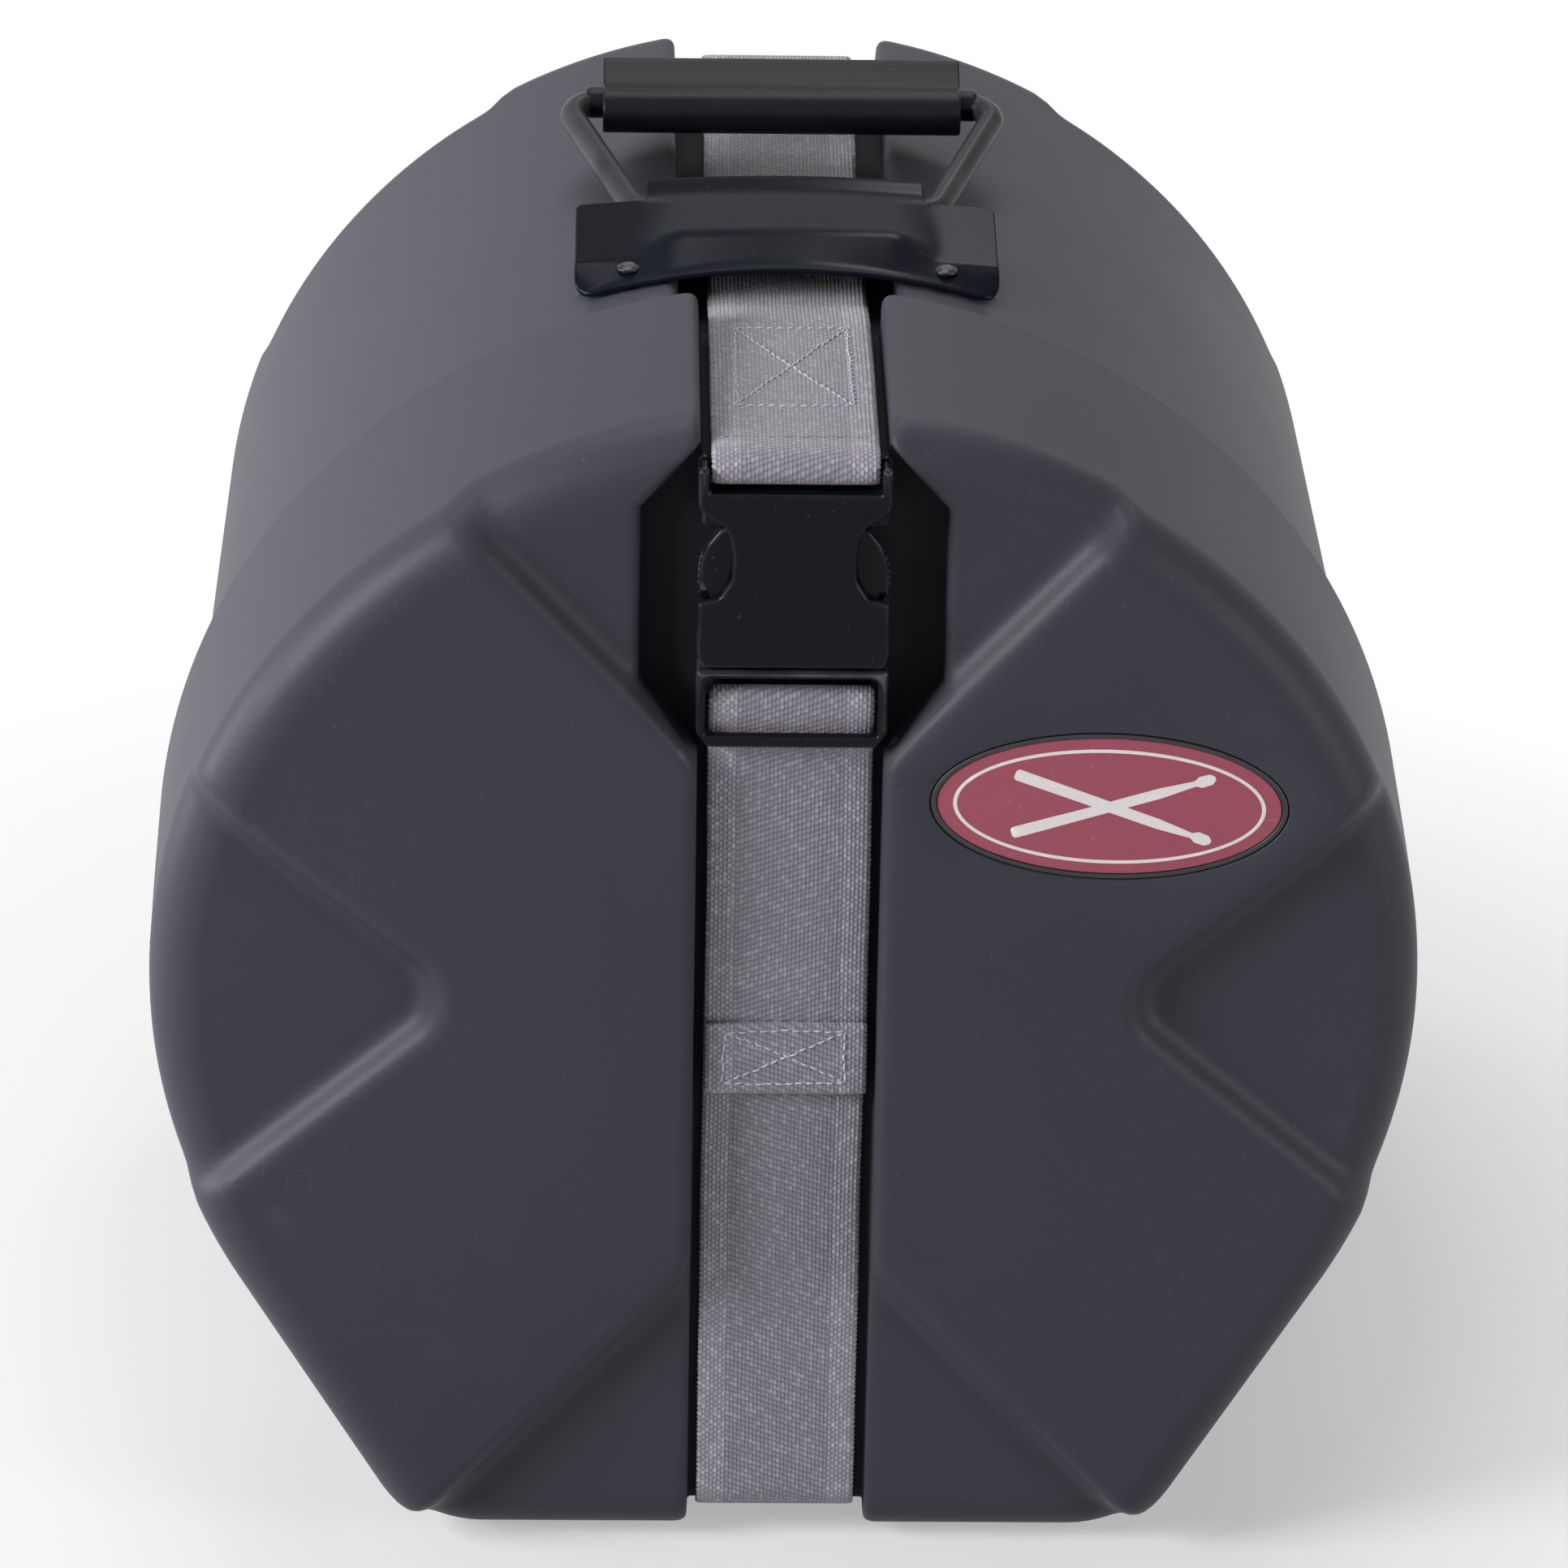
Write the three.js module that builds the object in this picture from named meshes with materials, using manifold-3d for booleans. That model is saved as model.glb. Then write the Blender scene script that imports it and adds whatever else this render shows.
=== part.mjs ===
// Moulded drum case with a slip-over lid, a webbing strap, a side-release buckle and a bail handle.
// Millimetres. +X is right as seen from the lid, the lid faces -Y, +Z is up, the ground is z = 0.
import * as THREE from "three";
import { mergeVertices } from "three/addons/utils/BufferGeometryUtils.js";
import Module from "manifold-3d";

const wasm = await Module();
wasm.setup();

// Driving dimensions of the outline: a round top, two straight slanted sides and a flat floor
const lidRadius = 199;
const lidDrop = 195.5; // from the centre of the round top down to the floor the lid stands on
const lidDraft = 2; // the lid's face is this much smaller all round than its open edge
const slantAngle = Math.PI / 3;
const cornerRadius = 40;
const caseDepth = 376;
const lidDepth = 113;
const mouthOverlap = 50; // how far the body's mouth reaches into the lid
const bodyDraft = 1.5;
const wall = 5;
const neckGap = 3.5; // between the lid's inside and the body's neck, round the top
const floorGap = 1.5; // the same under the floor and in the strap channel
const bodyRadius = lidRadius - wall - neckGap;
const bodyDrop = lidDrop - wall - floorGap;
const faceFillet = 17;
const reliefDepth = 9; // height of the raised panels over the sunk ones
const reliefSlope = 6; // run of the sloped step between them
const skinStep = 0.05; // the sunk form is this much smaller, so that no two of its faces coincide

// Clearances
const gap = 0.3; // between pieces that touch
const overrun = 20; // how far a cutting tool passes what it cuts

// Panel lines, measured from the centre of the round top
const wedgePoint = { x: 30, z: 88 };
const wedgeAngle = 0.83;
const notchPoint = { x: 109, z: 6.5 };
const notchHalf = 11.5;
const notchNose = 3;
const notchNoseHalf = 5;
const notchAngle = 0.71;
const lineReach = 190;

// Strap channel, buckle pocket and webbing
const channelHalf = 28.5;
const channelWallGap = 1; // beside the lid's channel walls, which slide in the body's channel
const bodyChannelHalf = channelHalf + wall + channelWallGap;
const channelDepth = 13;
const channelFillet = 8;
const lidChannelDepth = 15; // at the lid's open edge
const lidChannelRadius = lidRadius - lidChannelDepth;
const bodyChannelRadius = lidChannelRadius - wall - floorGap;
const pocketHalf = 46.5;
const pocketDepth = 17;
const pocketTop = lidChannelRadius + 4.6;
const pocketShoulder = 19.6;
const pocketSideTop = pocketTop - pocketShoulder;
const pocketSideHeight = 57;
const pocketSideBottom = pocketSideTop - pocketSideHeight;
const pocketFlareHeight = 22;
const pocketBottom = pocketSideBottom - pocketFlareHeight;
const webWidth = 50;
const webThickness = 2;

// Handle: plate, bail and grip
const plateSetback = 36; // behind the lid's open edge
const plateFront = lidDepth + plateSetback;
const plateLength = 64;
const plateHalf = 67;
const plateSheet = 3;
const plateCorner = 4;
const flangeRun = 14; // the plate's front flange slopes down over this
const flangeDrop = 1.8;
const lipSheet = 2.4; // the plate's turned-down front lips, which rest on the crest beside the channel
const lipCorner = 5;
const humpRise = 11.4; // top of the plate's hump over its seat
const humpHalf = 43;
const humpSetback = 9;
const humpLength = 46;
const humpFront = plateFront + humpSetback;
const humpBack = humpFront + humpLength;
const humpDraft = 2.5;
const humpFrontDraft = 7;
const seatDrop = 5.7; // the flat seat that the plate lies on is this far below the body's crest
const seatLevel = bodyRadius - seatDrop;
const seatMargin = 3;
const bailRod = 4.2;
const bailPivot = { back: humpBack - 10, level: seatLevel + 5.6 };
const bailReach = 70; // how far behind the pivot the grip's middle lies
const bailRise = 12; // and how far above it
const bailEndHalf = 36;
const bailFootHalf = 52;
const bailTopHalf = 72;
const bailFootBend = 7;
const bailTopBend = 7;
const gripHalf = 58.5;
const gripBarrel = { y: -0.6, z: -1, radius: 9.9, from: 64, to: 376 }; // in the section, round the rod
// The lip that runs along the grip's upper back edge
const gripLip = [
  [9.7, 3.2],
  [10.5, 5.6],
  [11.6, 8.2],
  [12.7, 9.9],
  [13, 10.8],
  [12.6, 11.5],
  [11.8, 11.6],
  [10.6, 11],
  [8.8, 9.9],
  [7, 8.9],
  [4.7, 7.7],
];
const gripStub = 4;
const gripStubRadius = 5.2;
const legSlotOuter = 61;
const legSlotMargin = 6;
const frontRivet = { x: 50, back: plateFront + 5.5 };
const backRivet = { x: 39, back: humpBack + 4.6 };
const rivetHead = 3.8;
const rivetShank = 2.3;
const rivetDome = 1.8;
const rivetButton = 3.4;
const rivetButtonHeight = 1.2;
const rivetBossHalf = 8;
const washerRadius = 6;
const rivetBossLevel =
  Math.sqrt((bodyChannelRadius - wall) ** 2 - (backRivet.x + washerRadius) ** 2) - gap;
const washerThickness = 1.2;

// Buckle
const buckleFront = 2;
const buckleThickness = 12.5;
const buckleHalf = 29;
const socketTop = lidChannelRadius + 0.6;
const socketHeight = 64.7;
const socketBottom = socketTop - socketHeight;
const socketWall = 2.4;
const socketFace = 2.6;
const socketCavityTop = socketTop - 16.6;
const socketSlotLow = socketCavityTop + 5;
const socketBar = { low: socketTop - 6.4, high: socketTop - 1.8, front: 6.3, back: 10.3 };
const railInner = 25.6;
const scoopRadius = 11.55;
const scoopX = 30.05;
const scoopDrop = 31.1;
const scoopLevel = socketTop - scoopDrop;
const buckleJoint = 1.3; // between the closed socket and the plug's shoulder
const plugTop = socketBottom - buckleJoint;
const plugHeight = 24.8;
const plugBottom = plugTop - plugHeight;
const plugWindow = { low: plugBottom + 4.2, high: plugTop - 7.6 };
const plugLowerBarBack = 5.2;
const plugBar = { low: plugBottom + 8.7, high: plugBottom + 12.2, front: 6.8, back: 9.9 };
const armFront = 4.9;
const armBack = 11.6;
const buckleCorner = 2.5;

// Padding, skids and badge
const lidPadThickness = 13;
const basePadThickness = 10;
const sidePadThickness = 8;
const padInset = 18;
const padMouthSetback = 27;
const padBackSetback = 31;
const padStart = lidDepth - mouthOverlap + padMouthSetback; // behind the lid's face
const padEnd = caseDepth - padBackSetback;
const padAngles = [0.1, 1.08];
const floorPadInner = bodyChannelHalf + wall + 1.5;
const floorPadWidth = 43;
const floorPadOuter = floorPadInner + floorPadWidth;
const skidWidth = 44;
const skidSpread = 4; // how far the skid reaches past the flat of the floor
const skidStart = 16; // behind the lid's open edge
const skidEnd = 30; // in front of the back
const badgeHalfWidth = 54.5;
const badgeHalfHeight = 24.6;
const badgeInset = 102; // from the lid's side to the badge's middle
const badgeCentre = { x: lidRadius - badgeInset, z: 75.5 };
const badgeTilt = -0.03;
const badgeThickness = 1.8;
const badgeSink = 2.1;

// Facet counts
const arcSteps = 40;
const cornerSteps = 4;
const filletSteps = 4;
const rodSides = 12;
const bendSteps = 4;
const badgeSides = 48;
const gripSides = 24;
const rivetSides = 12;
const scoopSides = 28;

const frontY = -caseDepth / 2;
const backY = caseDepth / 2;
const lipY = frontY + lidDepth;
const mouthY = lipY - mouthOverlap;
const centreZ = lidDrop;

const root = new THREE.Group();

// Materials
const material = (color, roughness, metalness = 0) =>
  new THREE.MeshStandardMaterial({ color, roughness, metalness });
const shellPlastic = material(0x46464b, 0.55);
const webbing = material(0x78737d, 0.9);
const bucklePlastic = material(0x1e1f24, 0.35);
const coatedSteel = material(0x2a2b30, 0.4, 0.5);
const gripRubber = material(0x1b1c20, 0.6);
const foam = material(0x2b2c2f, 0.95);
const rivetSteel = material(0x3a3b40, 0.35, 0.8);
const badgeRed = material(0x86404f, 0.4);

// Solids and meshes
function solid(geometry) {
  const bare = geometry.index ? geometry.toNonIndexed() : geometry.clone();
  bare.deleteAttribute("normal");
  bare.deleteAttribute("uv");
  const merged = mergeVertices(bare, 1e-4);
  return new wasm.Manifold(
    new wasm.Mesh({
      numProp: 3,
      vertProperties: merged.attributes.position.array,
      triVerts: new Uint32Array(merged.index.array),
    }),
  );
}

function geometryOf(made) {
  const mesh = made.getMesh();
  const geometry = new THREE.BufferGeometry();
  geometry.setAttribute("position", new THREE.BufferAttribute(mesh.vertProperties, 3));
  geometry.setIndex(new THREE.BufferAttribute(mesh.triVerts, 1));
  const flat = geometry.toNonIndexed();
  flat.computeVertexNormals();
  return flat;
}

function place(name, shape, look) {
  const geometry = shape.isBufferGeometry ? shape : geometryOf(shape);
  const mesh = new THREE.Mesh(geometry, look);
  mesh.name = name;
  root.add(mesh);
  return mesh;
}

// A closed solid through rings of points {x, y, z}; the rings run so that each next one lies on the
// side that the ring's own turning, by the right hand, points away from.
function loft(rings) {
  const count = rings[0].length;
  const positions = rings.flat().flatMap((p) => [p.x, p.y, p.z]);
  const index = [];
  for (let k = 0; k < rings.length - 1; k++) {
    for (let i = 0; i < count; i++) {
      const a = k * count + i;
      const b = k * count + ((i + 1) % count);
      const c = b + count;
      const d = a + count;
      index.push(a, d, c, a, c, b);
    }
  }
  const cap = (ring, first, flip) => {
    const origin = ring[0];
    const along = new THREE.Vector3().subVectors(ring[1], ring[0]).normalize();
    const normal = new THREE.Vector3();
    ring.forEach((p, i) => {
      const q = ring[(i + 1) % count];
      const u = new THREE.Vector3().subVectors(p, origin);
      const v = new THREE.Vector3().subVectors(q, origin);
      normal.add(u.cross(v));
    });
    const across = new THREE.Vector3().crossVectors(normal.normalize(), along);
    const flat = ring.map((p) => {
      const offset = new THREE.Vector3().subVectors(p, origin);
      return new THREE.Vector2(offset.dot(along), offset.dot(across));
    });
    for (const [i, j, k] of THREE.ShapeUtils.triangulateShape(flat, [])) {
      if (flip) index.push(first + i, first + k, first + j);
      else index.push(first + i, first + j, first + k);
    }
  };
  cap(rings[0], 0, false);
  cap(rings[rings.length - 1], (rings.length - 1) * count, true);
  const geometry = new THREE.BufferGeometry();
  geometry.setAttribute("position", new THREE.Float32BufferAttribute(positions, 3));
  geometry.setIndex(index);
  return geometry;
}

// A box given by its low and high corners
function block(x0, x1, y0, y1, z0, z1) {
  const geometry = new THREE.BoxGeometry(x1 - x0, y1 - y0, z1 - z0);
  geometry.translate((x0 + x1) / 2, (y0 + y1) / 2, (z0 + z1) / 2);
  return solid(geometry);
}

// Where the flat floor ends and the corner's arc starts
function cornerCentreX(radius, drop, corner) {
  return (radius - corner + Math.cos(slantAngle) * (corner - drop)) / Math.sin(slantAngle);
}

// Points of the case outline round its centre, anticlockwise as seen from the lid
function outline(radius, drop, corner) {
  const points = [];
  const start = -(Math.PI / 2 - slantAngle);
  const sweep = Math.PI - 2 * start;
  for (let i = 0; i <= arcSteps; i++) {
    const angle = start + (sweep * i) / arcSteps;
    points.push(new THREE.Vector2(radius * Math.cos(angle), radius * Math.sin(angle)));
  }
  const cornerZ = corner - drop;
  const cornerX = cornerCentreX(radius, drop, corner);
  const turn = slantAngle / cornerSteps;
  for (let i = 0; i <= cornerSteps; i++) {
    const angle = Math.PI - start + turn * i;
    points.push(
      new THREE.Vector2(corner * Math.cos(angle) - cornerX, corner * Math.sin(angle) + cornerZ),
    );
  }
  for (let i = 0; i <= cornerSteps; i++) {
    const angle = -Math.PI / 2 + turn * i;
    points.push(
      new THREE.Vector2(corner * Math.cos(angle) + cornerX, corner * Math.sin(angle) + cornerZ),
    );
  }
  return points;
}

const ringAt = (points, y) => points.map((p) => new THREE.Vector3(p.x, y, p.y + centreZ));

// A half shell's solid form: closed and filleted at closedY, open at openY, drawn in by inset
function blank(form, inset, closedInset, fillet, openOverrun = 0, skin = 0) {
  const way = Math.sign(form.openY - form.closedY);
  const closedY = form.closedY + way * closedInset;
  const openY = form.openY + way * openOverrun;
  const grow = (y) => (form.draft * (y - form.closedY)) / (form.openY - form.closedY) - form.draft;
  const ring = (y, extra) => {
    const shrink = inset + extra + skin - grow(y);
    const corner = Math.max(cornerRadius - shrink, channelFillet);
    return ringAt(outline(form.radius - shrink, form.drop - shrink, corner), y);
  };
  const rings = [];
  for (let i = 0; i <= filletSteps; i++) {
    const angle = (Math.PI / 2) * (i / filletSteps);
    const y = closedY + way * fillet * (1 - Math.cos(angle));
    rings.push(ring(y, fillet * (1 - Math.sin(angle))));
  }
  rings.push(ring(openY, 0));
  return solid(loft(way > 0 ? rings : rings.reverse()));
}

// Moves each edge of a convex outline out by a distance
function spread(points, distance) {
  return points.map((p, i) => {
    const before = points[(i + points.length - 1) % points.length];
    const after = points[(i + 1) % points.length];
    const u = new THREE.Vector2().subVectors(p, before).normalize();
    const v = new THREE.Vector2().subVectors(after, p).normalize();
    const bisector = new THREE.Vector2(u.y + v.y, -u.x - v.x);
    const scale = (2 * distance) / bisector.lengthSq();
    return new THREE.Vector2(p.x + bisector.x * scale, p.y + bisector.y * scale);
  });
}

// A prism along Y through [y, spread] stations, given from the lowest y up
function prism(points, ...stations) {
  return solid(loft(stations.map(([y, distance]) => ringAt(spread(points, distance), y))));
}

// A panel's prism through a shell's face, with the sloped step between the panel levels
function panelPrism(points, form, depth, slope, extra) {
  const way = Math.sign(form.openY - form.closedY);
  const face = form.closedY + way * depth;
  const stations = [
    [face - way * reliefDepth, extra + slope],
    [face + way * reliefDepth, extra - slope],
    [face + way * (reliefDepth + faceFillet + overrun), extra - slope],
  ];
  return prism(points, ...(way > 0 ? stations : stations.reverse()));
}

// Panel regions, anticlockwise as seen from the lid
const point = (x, z) => new THREE.Vector2(x, z);
const mirrored = (points) => points.map((p) => point(-p.x, p.y)).reverse();
const flipped = (points) => points.map((p) => point(p.x, -p.y)).reverse();

const wedgeReach = {
  x: wedgePoint.x + lineReach * Math.cos(wedgeAngle),
  z: wedgePoint.z + lineReach * Math.sin(wedgeAngle),
};
const upperWedge = [
  point(-wedgePoint.x, wedgePoint.z),
  point(wedgePoint.x, wedgePoint.z),
  point(wedgeReach.x, wedgeReach.z),
  point(-wedgeReach.x, wedgeReach.z),
];
const lowerWedge = flipped(upperWedge);
const notchReach = { x: lineReach * Math.cos(notchAngle), z: lineReach * Math.sin(notchAngle) };
const rightNotch = [
  point(notchPoint.x - notchNose, notchPoint.z + notchNoseHalf),
  point(notchPoint.x - notchNose, notchPoint.z - notchNoseHalf),
  point(notchPoint.x, notchPoint.z - notchHalf),
  point(notchPoint.x + notchReach.x, notchPoint.z - notchHalf - notchReach.z),
  point(notchPoint.x + notchReach.x, notchPoint.z + notchHalf + notchReach.z),
  point(notchPoint.x, notchPoint.z + notchHalf),
];
const leftNotch = mirrored(rightNotch);
const regions = [upperWedge, lowerWedge, rightNotch, leftNotch];

const pocketOutline = [
  point(-channelHalf, pocketBottom),
  point(channelHalf, pocketBottom),
  point(pocketHalf, pocketSideBottom),
  point(pocketHalf, pocketSideTop),
  point(channelHalf, pocketTop),
  point(-channelHalf, pocketTop),
  point(-pocketHalf, pocketSideTop),
  point(-pocketHalf, pocketSideBottom),
];

// Forms of the two shells and of their channel floors, which have no draft
const lidForm = { closedY: frontY, openY: lipY, radius: lidRadius, drop: lidDrop, draft: lidDraft };
const bodyForm = { closedY: backY, openY: mouthY, radius: bodyRadius, drop: bodyDrop, draft: bodyDraft };
const lidFloorForm = {
  closedY: frontY,
  openY: lipY,
  radius: lidChannelRadius,
  drop: lidDrop - channelDepth,
  draft: 0,
};
const bodyFloorForm = {
  closedY: backY,
  openY: mouthY,
  radius: bodyChannelRadius,
  drop: bodyDrop - channelDepth,
  draft: 0,
};

// The strap channel as a cutting tool: a slab all round a smaller form of the shell
function channelTool(floorForm, inset, half) {
  const y0 = Math.min(floorForm.closedY, floorForm.openY) - overrun;
  const y1 = Math.max(floorForm.closedY, floorForm.openY) + overrun;
  const slab = block(-half, half, y0, y1, -overrun, centreZ + lidRadius + overrun);
  const core = blank(floorForm, inset, channelDepth + inset, channelFillet - inset, 2 * overrun);
  return slab.subtract(core);
}

// The lid's outside or inside: raised face, sunk panels, channel and pocket, all drawn in by inset
function lidBlank(inset, over) {
  const fillet = faceFillet - inset;
  let made = blank(lidForm, inset, inset, fillet, over);
  for (const region of regions) {
    made = made.subtract(panelPrism(region, lidForm, inset, reliefSlope, inset));
  }
  made = made.add(blank(lidForm, inset, reliefDepth + inset, fillet, over, skinStep));
  made = made.subtract(channelTool(lidFloorForm, inset, channelHalf + inset));
  const pocketEnd = frontY + pocketDepth + inset;
  return made.subtract(prism(pocketOutline, [frontY - overrun, inset], [pocketEnd, inset]));
}

// The body's, whose panels stand the other way up
function bodyBlank(inset, over) {
  const fillet = faceFillet - inset;
  const raised = blank(bodyForm, inset, inset, fillet, over);
  let made = blank(bodyForm, inset, reliefDepth + inset, fillet, over, skinStep);
  for (const region of regions) {
    made = made.add(raised.intersect(panelPrism(region, bodyForm, inset, -reliefSlope, -inset)));
  }
  return made;
}

const atBack = (back) => frontY + back;
const atLevel = (level) => centreZ + level;
const seatFront = atBack(plateFront - seatMargin);
const seatBack = atBack(plateFront + plateLength + seatMargin);
const seatRise = atBack(plateFront + lipSheet) + gap; // the seat stands up over the crest from here back
const seatHalf = plateHalf + seatMargin;
const bossLevel = atLevel(rivetBossLevel);
const rivets = [
  ["front_left", -frontRivet.x, frontRivet.back],
  ["front_right", frontRivet.x, frontRivet.back],
  ["back_left", -backRivet.x, backRivet.back],
  ["back_right", backRivet.x, backRivet.back],
].map(([name, x, back]) => ({ name, x, y: atBack(back) }));

function makeBodyShell() {
  const seatTop = atLevel(seatLevel);
  const above = atLevel(lidRadius);
  let outer = bodyBlank(0, 0)
    .subtract(block(-seatHalf, seatHalf, seatFront, seatBack, seatTop, above))
    .add(block(-seatHalf, seatHalf, seatRise, seatBack, bossLevel, seatTop));
  outer = outer.add(makeSkid(1)).add(makeSkid(-1));
  outer = outer.subtract(channelTool(bodyFloorForm, 0, bodyChannelHalf));
  const boss = (x, y) =>
    block(
      x - rivetBossHalf,
      x + rivetBossHalf,
      y - rivetBossHalf,
      y + rivetBossHalf,
      bossLevel,
      seatTop,
    );
  let inside = bodyBlank(wall, overrun)
    .subtract(channelTool(bodyFloorForm, wall, bodyChannelHalf + wall))
    .subtract(
      block(-seatHalf, seatHalf, seatFront - wall, seatBack + wall, seatTop - wall, above),
    );
  for (const { x, y } of rivets) inside = inside.subtract(boss(x, y));
  let shell = outer.subtract(inside);
  for (const seat of rivets) shell = shell.subtract(rivetHole(seat));
  return shell;
}

// Turns a flat shape's x, y and thickness into Y, Z and X
const axesYZX = new THREE.Matrix4().makeBasis(
  new THREE.Vector3(0, 1, 0),
  new THREE.Vector3(0, 0, 1),
  new THREE.Vector3(1, 0, 0),
);

// A profile of (y, z) points, with holes, made into a solid between two X planes
function across(points, x0, x1, holes = []) {
  const shape = new THREE.Shape(points);
  for (const hole of holes) shape.holes.push(new THREE.Path(hole));
  const geometry = new THREE.ExtrudeGeometry(shape, { depth: x1 - x0, bevelEnabled: false });
  geometry.applyMatrix4(axesYZX);
  geometry.translate(x0, 0, 0);
  return solid(geometry);
}

// An outline of (x, z) points made into a solid between two Y planes
function through(points, y0, y1) {
  return solid(loft([y0, y1].map((y) => points.map((p) => new THREE.Vector3(p.x, y, p.y)))));
}

// Moulded skid under the body that brings it level with the lid
function makeSkid(side) {
  const depth = lidDrop - bodyDrop + bodyDraft + wall / 2;
  const y0 = lipY + skidStart;
  const y1 = backY - skidEnd;
  const profile = [point(y0 + depth, 0), point(y1 - depth, 0), point(y1, depth), point(y0, depth)];
  const outer = cornerCentreX(bodyRadius, bodyDrop, cornerRadius) + skidSpread;
  const x0 = side > 0 ? outer - skidWidth : -outer;
  return across(profile, x0, x0 + skidWidth);
}

// Points round part of an ellipse, its centre and half sizes given
function arc(centre, half, from, to, steps) {
  return Array.from({ length: steps + 1 }, (_, i) => {
    const angle = from + ((to - from) * i) / steps;
    return point(centre.x + half.x * Math.cos(angle), centre.y + half.y * Math.sin(angle));
  });
}

// A length of webbing whose middle follows (y, z) points
function band(path, thickness, half = webWidth / 2) {
  const side = (distance) =>
    path.map((p, i) => {
      const before = path[Math.max(i - 1, 0)];
      const after = path[Math.min(i + 1, path.length - 1)];
      const u = new THREE.Vector2().subVectors(p, before);
      const v = new THREE.Vector2().subVectors(after, p);
      if (i === 0) u.copy(v);
      if (i === path.length - 1) v.copy(u);
      u.normalize();
      v.normalize();
      const bisector = new THREE.Vector2(u.y + v.y, -u.x - v.x);
      const scale = (2 * distance) / bisector.lengthSq();
      return point(p.x + bisector.x * scale, p.y + bisector.y * scale);
    });
  const right = side(thickness / 2);
  const left = side(-thickness / 2).reverse();
  return across([...right, ...left], -half, half);
}

// Strap levels: the middle of the webbing over the channel floors
const strapRise = gap + webThickness / 2;
const lidTopStrap = atLevel(lidChannelRadius + strapRise);
const bodyTopStrap = atLevel(bodyChannelRadius + strapRise);
const lidBottomStrap = atLevel(channelDepth - lidDrop - strapRise);
const bodyBottomStrap = atLevel(channelDepth - bodyDrop - strapRise);
const backStrap = backY - channelDepth + strapRise;
const frontStrap = frontY + channelDepth - 2 * gap - webThickness / 2;
const strapStep = 32; // the strap comes down from the lid's level to the body's over this run
const lipClear = 1;
const topJoinShare = 0.56; // where under the plate the top and back runs meet
const bottomJoinRun = 76;
const sewnSetback = 5;
const tailLength = 122.2;
const hemLength = 25;
const topJoin = atBack(plateFront + plateLength * topJoinShare);
const bottomJoin = backY - bottomJoinRun;
const frontJoin = frontY + channelDepth + channelFillet;
const sewnEnd = lipY - sewnSetback;
const tailHem = atLevel(plugBottom - tailLength);
const bendRadius = channelFillet + strapRise;

function makeTopRun() {
  const run = band(
    [
      point(frontJoin + gap, lidTopStrap),
      point(lipY + lipClear, lidTopStrap),
      point(lipY + lipClear + strapStep, bodyTopStrap),
      point(topJoin - gap / 2, bodyTopStrap),
    ],
    webThickness,
  );
  const layer = lidTopStrap + webThickness;
  return run.add(band([point(frontJoin + gap, layer), point(sewnEnd, layer)], webThickness));
}

function makeBackRun() {
  const half = point(bendRadius, bendRadius);
  const y = backStrap - bendRadius;
  const top = bodyTopStrap - bendRadius;
  const bottom = bodyBottomStrap + bendRadius;
  return band(
    [
      point(topJoin + gap / 2, bodyTopStrap),
      ...arc(point(y, top), half, Math.PI / 2, 0, bendSteps),
      ...arc(point(y, bottom), half, 0, -Math.PI / 2, bendSteps),
      point(bottomJoin + gap / 2, bodyBottomStrap),
    ],
    webThickness,
  );
}

function makeBottomRun() {
  return band(
    [
      point(bottomJoin - gap / 2, bodyBottomStrap),
      point(lipY + lipClear + strapStep, bodyBottomStrap),
      point(lipY + lipClear, lidBottomStrap),
      point(frontJoin + gap, lidBottomStrap),
    ],
    webThickness,
  );
}

// Upper front webbing: doubled over the bend and wrapped round the socket's bar
function makeUpperFront() {
  const barMiddle = (socketBar.front + socketBar.back) / 2;
  const wrapHalf = (socketBar.back - socketBar.front) / 2 + gap + webThickness;
  const wrapLevel = atLevel(socketBar.low) + gap + 1;
  const wrap = point(atBack(barMiddle), wrapLevel);
  const under = lidTopStrap - webThickness / 2;
  const over = under + 2 * webThickness;
  const bendCentre = point(frontJoin, atLevel(lidChannelRadius - channelFillet));
  const innerHalf = point(channelFillet + gap, channelFillet + gap);
  const outerX = channelFillet + webThickness - gap;
  const outer = arc(
    point(wrap.x - wrapHalf + outerX, wrapLevel),
    point(outerX, over - wrapLevel),
    Math.PI / 2,
    Math.PI,
    2 * bendSteps,
  );
  const bottom = arc(wrap, point(wrapHalf, wrapHalf), Math.PI, 2 * Math.PI, 2 * bendSteps);
  const inner = arc(bendCentre, innerHalf, Math.PI * 0.8, Math.PI / 2, bendSteps);
  inner.pop();
  const points = [
    point(frontJoin - gap, over),
    ...outer,
    ...bottom.slice(1),
    ...inner,
    point(frontJoin - gap, under),
  ];
  const chamfer = gap / 2;
  const y0 = atBack(socketBar.front) - gap;
  const y1 = atBack(socketBar.back) + gap;
  const z0 = atLevel(socketBar.low) - gap;
  const z1 = atLevel(socketBar.high) + gap;
  const hole = [
    point(y0 + chamfer, z0),
    point(y0, z0 + chamfer),
    point(y0, z1 - chamfer),
    point(y0 + chamfer, z1),
    point(y1 - chamfer, z1),
    point(y1, z1 - chamfer),
    point(y1, z0 + chamfer),
    point(y1 - chamfer, z0),
  ];
  return across(points, -webWidth / 2, webWidth / 2, [hole]);
}

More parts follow.
